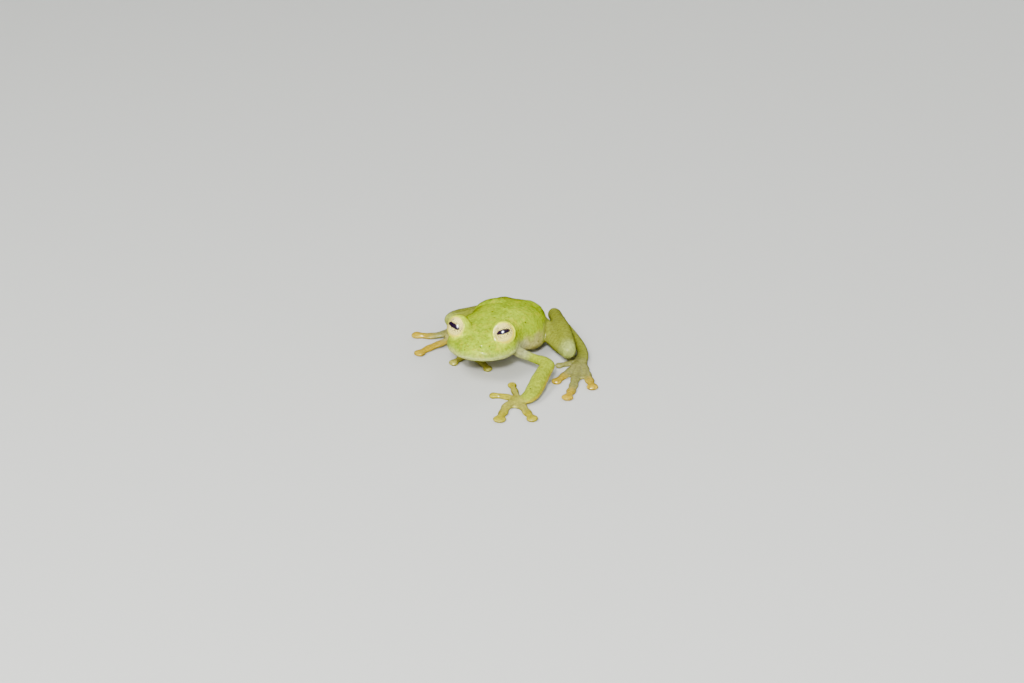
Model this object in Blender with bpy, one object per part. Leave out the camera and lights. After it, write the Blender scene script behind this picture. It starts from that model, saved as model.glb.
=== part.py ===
"""Glass frog sitting on a flat surface, life size: solids of head, torso, eyes and limbs.

The frog is drawn in millimetres, facing -Y with its left side at +X and the floor at
z = 0. The flesh is lofted and rounded off as one body, parted with thin cuts at the
joints, then moved to its bounding box's bottom centre and scaled to metres.
"""
import math
from collections import Counter

import bmesh
import bpy
import numpy as np
from mathutils import Matrix, Vector
from mathutils.bvhtree import BVHTree

MM = 0.001
CUT = 0.3
WELD = 0.002
VOXEL = 0.115
SMOOTH_STEPS = 5
TRIANGLES = 8600
RING = 20
CAP_ANGLES = (25.0, 50.0, 72.0)

# Head: plan ellipse of the lip line, turned a little to the frog's left.
HEAD_YAW = math.radians(4.0)
NECK = (-0.07, 8.0)
HEAD_HALF_WIDTH = 4.45
HEAD_HALF_LENGTH = 4.2
HEAD_WIDEST_Y = 4.3
HEAD_ROUNDNESS = 2.35
HEAD_LEVELS = (
    # y, bottom, widest level, top
    (0.1, 3.78, 3.95, 4.25),
    (0.4, 3.52, 3.95, 4.9),
    (1.0, 3.3, 3.95, 5.4),
    (2.2, 2.98, 3.95, 5.9),
    (4.0, 2.6, 3.95, 6.35),
    (6.0, 2.15, 3.9, 6.65),
    (8.0, 1.75, 3.8, 6.75),
)

# Trunk sections: y, middle x, half width, bottom, widest level, top.
TRUNK_ROUNDNESS = 2.5
TRUNK = (
    (5.2, 0.1, 4.0, 2.4, 3.9, 6.45),
    (8.0, 0.25, 4.15, 1.6, 3.2, 6.75),
    (10.0, 0.75, 4.75, 0.88, 2.4, 6.85),
    (12.0, 0.72, 5.0, 0.0, 2.15, 6.7),
    (14.0, 0.85, 4.6, -0.1, 2.2, 6.15),
    (15.7, 0.95, 3.85, -0.08, 2.25, 5.35),
    (17.2, 1.0, 3.1, 0.3, 2.3, 4.45),
    (18.5, 1.1, 2.2, 0.95, 2.3, 3.5),
    (19.2, 1.15, 1.35, 1.5, 2.3, 2.95),
    (19.5, 1.15, 0.55, 1.9, 2.25, 2.6),
)

# Eyes, in the head's own frame before it is turned.
EYE_AT = (2.92, 3.68, 6.25)
EYE_RADIUS = 1.28
EYE_GAP = 0.16
EYE_OUTWARD = math.radians(27.0)
EYE_UPWARD = math.radians(22.0)
MOUND_RADIUS = 1.62
LID_FORWARD = 0.6
LID_THICKNESS = 0.17

# Mouth line and nostrils, in the head's own frame.
MOUTH_LEVEL = 3.62
MOUTH_CORNER_LEVEL = 3.75
MOUTH_SWEEP = math.radians(104.0)
MOUTH_GROOVE = 0.13
LIP_RADIUS = 0.26
NOSTRIL_AT = (0.66, 0.95, 5.2)
NOSTRIL_BUMP = 0.3
NOSTRIL_PIT = 0.12

# Limbs, as rows of x, y, z, half width and half height along the middle line.
LIMBS = {
    "arm_left": (
        (2.3, 8.4, 2.9, 1.0, 1.0), (3.7, 6.9, 2.55, 0.75, 0.7), (5.25, 6.1, 2.5, 0.62, 0.6),
        (6.7, 5.65, 2.45, 0.6, 0.58), (8.0, 5.25, 2.4, 0.76, 0.7), (8.7, 4.75, 2.3, 0.9, 0.76),
        (8.68, 3.7, 2.05, 0.94, 0.76), (8.62, 2.0, 1.7, 0.99, 0.76), (8.65, 0.2, 1.3, 1.0, 0.7),
        (8.5, -1.4, 0.92, 0.98, 0.56), (7.9, -2.1, 0.6, 0.92, 0.46), (7.2, -2.3, 0.45, 0.8, 0.42),
    ),
    "arm_right": (
        (-1.9, 8.6, 2.9, 1.0, 1.0), (-3.95, 9.15, 2.4, 0.72, 0.7), (-5.05, 10.1, 2.0, 0.56, 0.53),
        (-5.5, 11.2, 1.6, 0.56, 0.48), (-5.6, 11.75, 1.25, 0.56, 0.46), (-5.35, 11.45, 0.8, 0.56, 0.42),
        (-4.7, 10.5, 0.72, 0.66, 0.42), (-3.75, 9.5, 0.66, 0.7, 0.42), (-3.0, 8.75, 0.48, 0.74, 0.4),
    ),
    "thigh_left": (
        (2.6, 16.6, 2.4, 1.4, 1.3), (5.0, 14.4, 2.35, 1.2, 1.2), (6.8, 12.6, 2.15, 1.06, 1.1),
        (8.6, 10.7, 2.1, 1.02, 1.0), (9.75, 9.5, 2.3, 0.98, 1.0),
    ),
    "shank_left": (
        (9.85, 9.35, 2.45, 1.0, 1.02), (8.9, 11.3, 2.75, 1.08, 1.02), (7.5, 13.9, 2.9, 1.06, 1.0),
        (6.0, 16.6, 2.7, 0.92, 0.9), (4.7, 18.9, 2.35, 0.86, 0.86),
    ),
    "tarsus_left": (
        (4.7, 19.0, 2.15, 0.82, 0.82), (6.35, 17.6, 1.7, 0.68, 0.66), (8.4, 15.7, 1.2, 0.66, 0.62),
        (10.1, 13.7, 0.85, 0.68, 0.56), (10.95, 11.9, 0.65, 0.78, 0.5), (11.15, 10.4, 0.5, 0.9, 0.44),
    ),
    "thigh_right": (
        (-1.4, 16.2, 2.5, 1.4, 1.3), (-3.6, 14.9, 2.75, 1.1, 1.1), (-4.9, 13.1, 3.05, 0.9, 0.95),
        (-5.8, 11.7, 3.2, 0.87, 0.92), (-6.35, 11.0, 3.25, 0.85, 0.9),
    ),
    "shank_right": (
        (-6.55, 10.95, 3.3, 0.9, 0.94), (-6.6, 12.3, 3.0, 0.94, 0.94), (-6.3, 13.9, 2.6, 0.92, 0.92),
        (-5.65, 15.8, 2.2, 0.86, 0.86), (-5.2, 17.4, 1.85, 0.82, 0.82), (-4.6, 19.9, 1.35, 0.8, 0.8),
    ),
    "tarsus_right": (
        (-4.65, 20.05, 1.2, 0.76, 0.76), (-5.8, 19.0, 0.9, 0.66, 0.6), (-6.75, 17.3, 0.7, 0.64, 0.54),
        (-7.1, 15.6, 0.6, 0.7, 0.48), (-7.2, 14.3, 0.55, 0.84, 0.44),
    ),
}

# Digits: middle line, half width of the shaft and radius of the disc. A raised joint
# of a digit states its own level.
DIGIT_HEIGHT = 0.34
DIGIT_LEVEL = 0.27
DISC_HEIGHT = 0.34
DIGITS = {
    "hand_left": (
        (((7.0, -1.5), (6.2, -0.1), (5.1, 1.75)), 0.43, 0.56),
        (((6.9, -1.8), (5.1, -1.45), (3.87, -1.7)), 0.43, 0.53),
        (((6.9, -2.2), (6.45, -3.7), (6.6, -5.6), (6.77, -7.35)), 0.56, 0.78),
        (((7.3, -2.2), (8.35, -3.35), (9.4, -4.6), (10.46, -5.85)), 0.52, 0.7),
    ),
    "hand_right": (
        (((-2.7, 8.8), (-2.2, 9.2), (-1.75, 9.6)), 0.36, 0.42),
        (((-2.6, 8.4), (-1.4, 8.3), (-0.35, 8.1)), 0.38, 0.5),
        (((-2.7, 8.2), (-1.6, 7.1), (-0.35, 6.0), (0.6, 5.05)), 0.46, 0.62),
        (((-3.3, 8.2), (-3.6, 6.9), (-4.03, 5.15)), 0.45, 0.6),
    ),
    "foot_left": (
        (((10.9, 11.6), (10.0, 11.7), (9.3, 11.6)), 0.4, 0.44),
        (((10.8, 10.6), (9.8, 9.9), (8.78, 8.95)), 0.42, 0.5),
        (((11.0, 10.0), (10.65, 8.3), (10.37, 6.6), (9.94, 4.7)), 0.52, 0.64),
        (((11.3, 10.0), (11.6, 7.8), (12.2, 4.9), (12.55, 2.9), (12.66, 1.0)), 0.56, 0.72),
        (((11.5, 10.4), (12.3, 8.9), (13.3, 7.1), (14.65, 4.8)), 0.56, 0.72),
    ),
    "foot_right": (
        (((-6.9, 15.2), (-6.2, 15.5), (-5.4, 15.5)), 0.34, 0.4),
        (((-6.9, 14.6), (-6.0, 14.4), (-5.1, 14.4)), 0.36, 0.44),
        (((-7.0, 14.2), (-6.3, 13.6), (-5.6, 13.45)), 0.38, 0.45),
        (((-7.1, 14.0, 0.55), (-7.05, 12.4, 0.8), (-6.75, 10.9, 0.9), (-6.85, 9.85, 0.8), (-7.45, 9.1, 0.6),
          (-8.13, 8.45, 0.42), (-8.65, 7.5, 0.3), (-9.15, 6.3, 0.27)), 0.54, 0.7),
        (((-7.3, 14.3, 0.5), (-7.6, 13.2, 0.5), (-8.1, 12.3, 0.45), (-9.0, 11.6, 0.35), (-10.3, 11.2, 0.27),
          (-11.4, 11.0, 0.27)), 0.62, 0.7),
    ),
}
WEB_THICKNESS = 0.36
# Webs: limb end, first digit, second digit, how far along each, depth of the free edge.
WEBS = (
    ("hand_left", 0, 1, 0.22, 0.3), ("hand_left", 1, 2, 0.22, 0.3), ("hand_left", 2, 3, 0.52, 0.3),
    ("hand_right", 1, 2, 0.3, 0.3), ("hand_right", 2, 3, 0.42, 0.3),
    ("foot_left", 1, 2, 0.42, 0.3), ("foot_left", 2, 3, 0.72, 0.3), ("foot_left", 3, 4, 0.74, 0.3),
    ("foot_right", 2, 3, 0.16, 0.3), ("foot_right", 3, 4, 0.3, 0.3),
)

# Thin cuts where limbs meet the trunk or each other: place, direction, radius.
CROSS_CUTS = (
    ((4.8, 6.32, 2.52), (0.92, -0.38, -0.03), 1.0),
    ((-4.95, 9.9, 2.1), (-0.65, 0.72, -0.28), 0.9),
    ((6.85, 12.55, 2.15), (0.68, -0.73, -0.05), 1.4),
    ((-5.2, 12.6, 3.1), (-0.5, -0.83, 0.1), 1.12),
    ((8.55, -0.9, 1.05), (-0.1, -0.96, -0.25), 1.25),
    ((-3.3, 9.25, 0.6), (0.6, -0.78, -0.15), 0.95),
    ((10.85, 12.2, 0.68), (0.32, -0.94, -0.1), 1.0),
    ((-7.15, 15.0, 0.58), (-0.12, -0.99, -0.05), 1.0),
)
# Cuts along a folded joint: the joint, a point on each limb, reach back, reach in, half width.
FOLD_CUTS = (
    ((8.8, 4.75, 2.3), (6.7, 5.65, 2.45), (8.62, 2.0, 1.7), 1.4, 1.6, 1.1),
    ((-5.7, 11.9, 1.15), (-5.05, 10.1, 2.0), (-4.7, 10.5, 0.75), 0.8, 2.5, 0.85),
    ((9.95, 9.2, 2.4), (7.7, 11.6, 2.1), (7.6, 13.7, 2.9), 1.35, 9.2, 1.4),
    ((4.55, 19.1, 2.3), (7.5, 13.9, 2.9), (8.4, 15.7, 1.2), 1.2, 5.2, 1.3),
    ((-6.65, 10.85, 3.3), (-4.9, 13.1, 3.05), (-6.3, 13.9, 2.6), 1.2, 5.2, 1.2),
    ((-4.5, 20.2, 1.3), (-5.2, 17.4, 1.85), (-6.75, 17.3, 0.7), 1.1, 3.6, 1.1),
)
NECK_CUT = ((0.1, 6.35, 4.7), 0.42, 4.9, 3.1)

NODES = {
    "head": (0.3, 2.5, 4.2), "torso": (0.9, 13.5, 3.5),
    "upper_arm_left": (6.7, 5.65, 2.45), "forearm_left": (8.6, 1.6, 1.6), "hand_left": (7.2, -2.3, 0.4),
    "upper_arm_right": (-5.35, 10.7, 1.85), "forearm_right": (-4.7, 10.5, 0.7),
    "hand_right": (-2.9, 8.5, 0.42),
    "thigh_left": (8.4, 10.9, 2.05), "shank_left": (7.2, 14.4, 2.9), "tarsus_left": (8.6, 15.5, 1.15),
    "foot_left": (11.1, 10.4, 0.45),
    "thigh_right": (-5.7, 11.8, 3.15), "shank_right": (-6.3, 13.9, 2.6), "tarsus_right": (-6.8, 17.2, 0.7),
    "foot_right": (-7.2, 14.2, 0.5),
}
SKIN_COLOUR = (0.42, 0.62, 0.09, 1.0)
LIMB_COLOUR = (0.55, 0.58, 0.2, 1.0)
EYE_COLOUR = (0.83, 0.77, 0.48, 1.0)


def clear_scene():
    """Remove every object, so the file can be run again."""
    for thing in list(bpy.data.objects):
        bpy.data.objects.remove(thing, do_unlink=True)


def through(rows, count):
    """Return count points on a smooth curve through the rows, evenly spaced."""
    rows = np.asarray(rows, float)
    steps = np.linalg.norm(np.diff(rows[:, :3], axis=0), axis=1)
    at = np.concatenate([[0.0], np.cumsum(steps)])
    slope = np.gradient(rows, at, axis=0)
    where = np.linspace(0.0, at[-1], count)
    index = np.clip(np.searchsorted(at, where, side="right") - 1, 0, len(rows) - 2)
    span = (at[index + 1] - at[index])[:, None]
    t = ((where - at[index])[:, None]) / span
    low, high = rows[index], rows[index + 1]
    rise, fall = slope[index] * span, slope[index + 1] * span
    return ((2 * t**3 - 3 * t**2 + 1) * low + (t**3 - 2 * t**2 + t) * rise
            + (3 * t**2 - 2 * t**3) * high + (t**3 - t**2) * fall)


def loft(rings, start, end):
    """Return vertices and faces of a closed loft with a pole at each end."""
    count = len(rings[0])
    points = [tuple(p) for ring in rings for p in ring]
    faces = []
    for level in range(len(rings) - 1):
        for k in range(count):
            a, b = level * count + k, level * count + (k + 1) % count
            faces.append((a, b, b + count, a + count))
    first, last = len(points), len(points) + 1
    points += [tuple(start), tuple(end)]
    top = (len(rings) - 1) * count
    for k in range(count):
        after = (k + 1) % count
        faces.append((after, k, first))
        faces.append((top + k, top + after, last))
    return points, faces


def tube(rows, per_mm=3.0, sides=RING):
    """Return a closed limb with rounded ends through rows of place and half sizes."""
    rows = np.asarray(rows, float)
    length = np.linalg.norm(np.diff(rows[:, :3], axis=0), axis=1).sum()
    line = through(rows, max(6, int(length * per_mm)))
    along = np.gradient(line[:, :3], axis=0)
    along /= np.linalg.norm(along, axis=1)[:, None]
    stations = []
    for angle in reversed(CAP_ANGLES):
        turn = math.radians(angle)
        stations.append((line[0], along[0], -math.sin(turn), math.cos(turn)))
    stations += [(row, way, 0.0, 1.0) for row, way in zip(line, along)]
    for angle in CAP_ANGLES:
        turn = math.radians(angle)
        stations.append((line[-1], along[-1], math.sin(turn), math.cos(turn)))
    rings = []
    for row, way, shift, size in stations:
        side = np.cross(way, (0.0, 0.0, 1.0))
        side /= np.linalg.norm(side)
        lift = np.cross(side, way)
        middle = row[:3] + way * shift * min(row[3], row[4])
        turns = np.linspace(0.0, 2 * math.pi, sides, endpoint=False)
        rings.append([middle + side * row[3] * size * math.cos(a) + lift * row[4] * size * math.sin(a)
                      for a in turns])
    start = line[0, :3] - along[0] * min(line[0, 3], line[0, 4])
    end = line[-1, :3] + along[-1] * min(line[-1, 3], line[-1, 4])
    return loft(rings, start, end)


def rounded_section(middle, half_width, low, level, high, power):
    """Return a ring of x and z for one body section, fuller than an ellipse."""
    ring = []
    for a in np.linspace(0.0, 2 * math.pi, 40, endpoint=False):
        across = math.copysign(abs(math.cos(a)) ** (2 / power), math.cos(a))
        rise = math.copysign(abs(math.sin(a)) ** (2 / power), math.sin(a))
        height = (high - level) if rise > 0 else (level - low)
        ring.append((middle + half_width * across, level + height * rise))
    return ring


def turn_head(point):
    """Turn a point of the head's own frame about the neck."""
    x, y = point[0], point[1] - NECK[1]
    c, s = math.cos(HEAD_YAW), math.sin(HEAD_YAW)
    return np.array([NECK[0] + c * x - s * y, NECK[1] + s * x + c * y, point[2]])


def turn_direction(way):
    """Turn a direction of the head's own frame."""
    c, s = math.cos(HEAD_YAW), math.sin(HEAD_YAW)
    return np.array([c * way[0] - s * way[1], s * way[0] + c * way[1], way[2]])


def head_loft():
    """Return the head: sections whose widths follow the lip's ellipse."""
    levels = np.array(HEAD_LEVELS)
    angles = np.radians(np.linspace(8.0, 90.0, 15))
    ys = list(HEAD_WIDEST_Y - HEAD_HALF_LENGTH * np.cos(angles)) + [5.2, 6.2, 7.2, 8.2]
    rings = []
    for y in ys:
        lead = (HEAD_WIDEST_Y - y) / HEAD_HALF_LENGTH
        wide = HEAD_HALF_WIDTH - 0.08 * (y - HEAD_WIDEST_Y)
        if lead > 0:
            wide = HEAD_HALF_WIDTH * math.sqrt(1 - lead**2)
        low, level, high = (np.interp(y, levels[:, 0], levels[:, k]) for k in (1, 2, 3))
        ring = rounded_section(0.0, wide, low, level, high, HEAD_ROUNDNESS)
        rings.append([turn_head((x, y, z)) for x, z in ring])
    tip = turn_head((0.0, HEAD_WIDEST_Y - HEAD_HALF_LENGTH, 3.95))
    back = turn_head((0.0, ys[-1] + 0.1, 4.2))
    return loft(rings, tip, back)


def trunk_loft():
    """Return the trunk from behind the eyes to the vent."""
    line = through([(row[1], row[0], 0.0) + row[2:] for row in TRUNK], 46)
    rings = []
    for x, y, _, wide, low, level, high in line:
        ring = rounded_section(x, wide, low, level, high, TRUNK_ROUNDNESS)
        rings.append([(px, y, pz) for px, pz in ring])
    first, last = line[0], line[-1]
    return loft(rings, (first[0], first[1] - 0.1, first[5]), (last[0], last[1] + 0.25, last[5]))


def ball(centre, radius, flat=1.0, rings=16, segments=24):
    """Return a closed ball, flattened in height by flat."""
    line = []
    for turn in np.linspace(0.0, math.pi, rings + 1)[1:-1]:
        size, height = radius * math.sin(turn), radius * math.cos(turn) * flat
        line.append([(centre[0] + size * math.cos(a), centre[1] + size * math.sin(a), centre[2] + height)
                     for a in np.linspace(0.0, 2 * math.pi, segments, endpoint=False)])
    line.reverse()
    return loft(line, (centre[0], centre[1], centre[2] - radius * flat),
                (centre[0], centre[1], centre[2] + radius * flat))


def frame_of(way):
    """Return two unit vectors square to a direction, and the direction."""
    way = np.asarray(way, float) / np.linalg.norm(way)
    side = np.cross((0.0, 0.0, 1.0), way)
    side /= np.linalg.norm(side)
    return side, np.cross(way, side), way


def cut_ball(centre, radius, way, forward):
    """Return a ball cut flat at a distance forward of its centre."""
    side, lift, way = frame_of(way)
    limit = math.acos(forward / radius)
    rings = []
    for turn in np.linspace(math.pi, limit, 14)[1:]:
        rings.append([centre + way * radius * math.cos(turn)
                      + (side * math.cos(a) + lift * math.sin(a)) * radius * math.sin(turn)
                      for a in np.linspace(0.0, 2 * math.pi, 28, endpoint=False)])
    return loft(rings, centre - way * radius, centre + way * forward)


def ring_tube(centre, way, radius, thickness):
    """Return points and faces of a round ring."""
    side, lift, way = frame_of(way)
    points, faces, around, across = [], [], 36, 10
    for k in range(around):
        a = 2 * math.pi * k / around
        out = side * math.cos(a) + lift * math.sin(a)
        for j in range(across):
            b = 2 * math.pi * j / across
            away = out * (radius + thickness * math.cos(b)) + way * thickness * math.sin(b)
            points.append(tuple(centre + away))
    for k in range(around):
        for j in range(across):
            a, b = k * across + j, k * across + (j + 1) % across
            c, d = ((k + 1) % around) * across + (j + 1) % across, ((k + 1) % around) * across + j
            faces.append((a, d, c, b))
    return points, faces


def eye_place(side):
    """Return the centre and the looking direction of one eye."""
    centre = turn_head((EYE_AT[0] * side, EYE_AT[1], EYE_AT[2]))
    way = turn_direction((side * math.sin(EYE_OUTWARD) * math.cos(EYE_UPWARD),
                          -math.cos(EYE_OUTWARD) * math.cos(EYE_UPWARD), math.sin(EYE_UPWARD)))
    return centre, way


def levelled(at):
    """Return a digit's point with its level, the usual one where none is stated."""
    return at if len(at) == 3 else (*at, DIGIT_LEVEL)


def digit_rows(path, half_width, disc):
    """Return rows for one digit: a shaft that ends in a widened disc."""
    line = through([(*levelled(at), half_width, DIGIT_HEIGHT) for at in path], 16)
    steps = np.linalg.norm(np.diff(line[:, :3], axis=0), axis=1)
    left = steps.sum() - np.concatenate([[0.0], np.cumsum(steps)])
    swell = 1.0 + 0.1 * np.cos(left * 2 * math.pi / 1.7)
    line[:, 3] *= swell
    neck = np.clip(1.0 - np.abs(left - 1.15 * disc) / (1.2 * disc), 0.0, 1.0)
    line[:, 3] *= 1.0 - 0.12 * neck
    line[:, 4] = DIGIT_HEIGHT + 0.1 * np.clip((left / left[0] - 0.55) / 0.45, 0.0, 1.0)
    return line


def digit_line(path, share):
    """Return 41 points along the first share of a digit's middle line."""
    line = through([levelled(at) for at in path], 41)
    return line[np.linspace(0, share * 40, 41).astype(int)]


def web(first, second, share, dip):
    """Return a closed membrane between two digits with a hollow free edge."""
    count, across = 8, 7
    one, two = digit_line(first, share), digit_line(second, share)
    points, faces = [], []
    for height in (-0.5, 0.5):
        for j in range(across + 1):
            s = j / across
            reach = 1.0 - dip * 4 * s * (1 - s)
            for i in range(count + 1):
                k = int(round(40 * reach * i / count))
                at = one[k] * (1 - s) + two[k] * s
                points.append((at[0], at[1], at[2] - 0.03 + height * WEB_THICKNESS))
    row, layer = count + 1, (count + 1) * (across + 1)
    for j in range(across):
        for i in range(count):
            a, b, c, d = j * row + i, j * row + i + 1, (j + 1) * row + i + 1, (j + 1) * row + i
            faces.append((a, b, c, d))
            faces.append((a + layer, d + layer, c + layer, b + layer))
    edge = ([j * row for j in range(across)] + [across * row + i for i in range(count)]
            + [j * row + count for j in range(across, 0, -1)] + list(range(count, 0, -1)))
    for k, a in enumerate(edge):
        b = edge[(k + 1) % len(edge)]
        faces.append((b, a, a + layer, b + layer))
    return points, faces


def lip_rows():
    """Return rows of a soft roll along the upper lip."""
    rows = []
    for turn in np.linspace(-MOUTH_SWEEP, MOUTH_SWEEP, 25):
        x = (HEAD_HALF_WIDTH - 0.2) * math.sin(turn)
        y = HEAD_WIDEST_Y - (HEAD_HALF_LENGTH - 0.2) * math.cos(turn)
        rows.append((*turn_head((x, y, 3.98)), LIP_RADIUS, LIP_RADIUS))
    return rows


def flesh_shapes():
    """Return every closed shape that the flesh is rounded off from."""
    shapes = [head_loft(), trunk_loft(), tube(lip_rows())]
    shapes += [tube(rows) for rows in LIMBS.values()]
    for side in (1, -1):
        centre, way = eye_place(side)
        shapes.append(cut_ball(centre - way * 0.12, MOUND_RADIUS, way, LID_FORWARD + 0.12))
        rim = math.sqrt((EYE_RADIUS + EYE_GAP + 0.1) ** 2 - LID_FORWARD**2)
        shapes.append(ring_tube(centre + way * LID_FORWARD, way, rim, LID_THICKNESS))
        nostril = turn_head((NOSTRIL_AT[0] * side, NOSTRIL_AT[1], NOSTRIL_AT[2] - 0.12))
        shapes.append(ball(nostril, NOSTRIL_BUMP))
    for digits in DIGITS.values():
        for path, half_width, disc in digits:
            shapes.append(tube(digit_rows(path, half_width, disc), 5.0))
            shapes.append(ball(levelled(path[-1]), disc, DISC_HEIGHT / disc))
    for name, one, two, share, dip in WEBS:
        shapes.append(web(DIGITS[name][one][0], DIGITS[name][two][0], share, dip))
    return shapes


def mesh_object(name, shapes):
    """Return an object that holds closed shapes, each facing out."""
    bm = bmesh.new()
    for points, faces in shapes:
        made = [bm.verts.new(p) for p in points]
        new_faces = [bm.faces.new([made[k] for k in face]) for face in faces]
        bmesh.ops.recalc_face_normals(bm, faces=new_faces)
    mesh = bpy.data.meshes.new(name)
    bm.to_mesh(mesh)
    bm.free()
    thing = bpy.data.objects.new(name, mesh)
    bpy.context.scene.collection.objects.link(thing)
    return thing


def bake(thing):
    """Replace an object's mesh by its evaluated mesh, without modifiers."""
    bpy.context.view_layer.update()
    graph = bpy.context.evaluated_depsgraph_get()
    mesh = bpy.data.meshes.new_from_object(thing.evaluated_get(graph))
    thing.modifiers.clear()
    thing.data = mesh
    return thing


def rounded_flesh():
    """Return the flesh as one closed surface within the triangle budget."""
    flesh = mesh_object("flesh", flesh_shapes())
    remesh = flesh.modifiers.new("Remesh", "REMESH")
    remesh.mode = "VOXEL"
    remesh.voxel_size = VOXEL
    soften = flesh.modifiers.new("Soften", "SMOOTH")
    soften.factor = 0.5
    soften.iterations = SMOOTH_STEPS
    bake(flesh)
    faces = sum(len(p.vertices) - 2 for p in flesh.data.polygons)
    thin = flesh.modifiers.new("Thin", "DECIMATE")
    thin.ratio = TRIANGLES / faces
    return bake(flesh)


def plate(centre, along, across, thick, half_along, half_across):
    """Return a closed plate given its three unit directions."""
    corners = []
    for t in (-0.5, 0.5):
        for a, b in ((-1, -1), (1, -1), (1, 1), (-1, 1)):
            corners.append(tuple(centre + thick * CUT * t + along * half_along * a + across * half_across * b))
    faces = [(0, 1, 2, 3), (7, 6, 5, 4), (0, 4, 5, 1), (1, 5, 6, 2), (2, 6, 7, 3), (3, 7, 4, 0)]
    return corners, faces


def disc(centre, way, radius):
    """Return a thin round plate square to a direction."""
    side, lift, way = frame_of(way)
    centre = np.asarray(centre, float)
    rings = []
    for shift in (-0.5, 0.5):
        rings.append([centre + way * CUT * shift + (side * math.cos(a) + lift * math.sin(a)) * radius
                      for a in np.linspace(0.0, 2 * math.pi, 18, endpoint=False)])
    return loft(rings, centre - way * CUT * 0.5, centre + way * CUT * 0.5)


def fold_plate(joint, one, two, back, reach, half_width):
    """Return the plate that parts two limbs which fold at a joint."""
    joint, one, two = (np.asarray(p, float) for p in (joint, one, two))
    first = (one - joint) / np.linalg.norm(one - joint)
    second = (two - joint) / np.linalg.norm(two - joint)
    middle = first + second
    middle /= np.linalg.norm(middle)
    thick = second - first
    thick -= middle * thick.dot(middle)
    thick /= np.linalg.norm(thick)
    centre = joint + middle * (reach - back) / 2
    return plate(centre, middle, np.cross(middle, thick), thick, (reach + back) / 2, half_width)


def joint_cutters():
    """Return the thin plates that part the flesh into its nodes."""
    cuts = [disc(*row) for row in CROSS_CUTS]
    cuts += [fold_plate(*row) for row in FOLD_CUTS]
    centre, lean, half_width, half_height = NECK_CUT
    up = np.array([0.0, lean, 1.0]) / math.hypot(1.0, lean)
    side = np.array([1.0, 0.0, 0.0])
    cuts.append(plate(np.array(centre), up, side, np.cross(side, up), half_height, half_width))
    return cuts


def mouth_cutter(surface):
    """Return a fine tube along the mouth line, half sunk in the head's surface."""
    rows = []
    for turn in np.linspace(-MOUTH_SWEEP, MOUTH_SWEEP, 41):
        x = HEAD_HALF_WIDTH * math.sin(turn)
        y = HEAD_WIDEST_Y - HEAD_HALF_LENGTH * math.cos(turn)
        rise = (turn / MOUTH_SWEEP) ** 2 * (MOUTH_CORNER_LEVEL - MOUTH_LEVEL)
        near = surface.find_nearest(Vector(turn_head((x, y, MOUTH_LEVEL + rise))))[0]
        rows.append((*near, MOUTH_GROOVE, MOUTH_GROOVE))
    return tube(rows, 2.0, 8)


def carve(flesh, shapes, name):
    """Cut shapes out of the flesh with one Boolean difference."""
    cutter = mesh_object(name, shapes)
    cutter.hide_render = True
    cutter.display_type = "WIRE"
    cut = flesh.modifiers.new(name, "BOOLEAN")
    cut.operation = "DIFFERENCE"
    cut.solver = "EXACT"
    cut.object = cutter
    bake(flesh)
    bpy.data.objects.remove(cutter, do_unlink=True)


def carve_details(flesh):
    """Cut the floor flats, eye sockets, mouth line, nostrils and joints."""
    surface = BVHTree.FromPolygons([v.co for v in flesh.data.vertices],
                                   [p.vertices for p in flesh.data.polygons])
    floor = plate(np.array([1.0, 8.0, -1.0]), np.array([1.0, 0.0, 0.0]), np.array([0.0, 1.0, 0.0]),
                  np.array([0.0, 0.0, 2.0 / CUT]), 30.0, 30.0)
    carve(flesh, [floor], "floor")
    sockets, pits = [], []
    for side in (1, -1):
        sockets.append(ball(eye_place(side)[0], EYE_RADIUS + EYE_GAP, rings=12, segments=20))
        place = turn_head((NOSTRIL_AT[0] * side + 0.14 * side, NOSTRIL_AT[1] - 0.04, NOSTRIL_AT[2] + 0.1))
        near = surface.find_nearest(Vector(place))[0]
        pits.append(ball(near, NOSTRIL_PIT, rings=6, segments=10))
    carve(flesh, sockets + pits + [mouth_cutter(surface)], "details")
    for number, cutter in enumerate(joint_cutters()):
        carve(flesh, [cutter], f"joint_{number}")


def loose_pieces(mesh):
    """Return the vertex and face lists of each connected piece, largest first."""
    bm = bmesh.new()
    bm.from_mesh(mesh)
    bmesh.ops.triangulate(bm, faces=bm.faces)
    bmesh.ops.remove_doubles(bm, verts=bm.verts, dist=WELD)
    bmesh.ops.dissolve_degenerate(bm, edges=bm.edges, dist=WELD)
    bmesh.ops.triangulate(bm, faces=bm.faces)
    bm.verts.index_update()
    seen, pieces = set(), []
    for vertex in bm.verts:
        if vertex.index in seen or not vertex.link_faces:
            continue
        stack, found = [vertex], []
        seen.add(vertex.index)
        while stack:
            here = stack.pop()
            found.append(here)
            for edge in here.link_edges:
                other = edge.other_vert(here)
                if other.index not in seen:
                    seen.add(other.index)
                    stack.append(other)
        order = {v.index: k for k, v in enumerate(found)}
        faces = {f for v in found for f in v.link_faces}
        rows = sorted([order[v.index] for v in f.verts] for f in faces)
        repeats = Counter(frozenset(row) for row in rows)
        rows = [row for row in rows if repeats[frozenset(row)] == 1]
        pieces.append(([v.co.copy() for v in found], rows))
    bm.free()
    return sorted(pieces, key=lambda piece: -len(piece[0]))


def paint(thing, colour, roughness):
    """Give an object its own material."""
    material = bpy.data.materials.new(thing.name)
    material.use_nodes = True
    shader = material.node_tree.nodes["Principled BSDF"]
    shader.inputs["Base Color"].default_value = colour
    shader.inputs["Roughness"].default_value = roughness
    thing.data.materials.clear()
    thing.data.materials.append(material)
    thing.data.shade_smooth()


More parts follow.
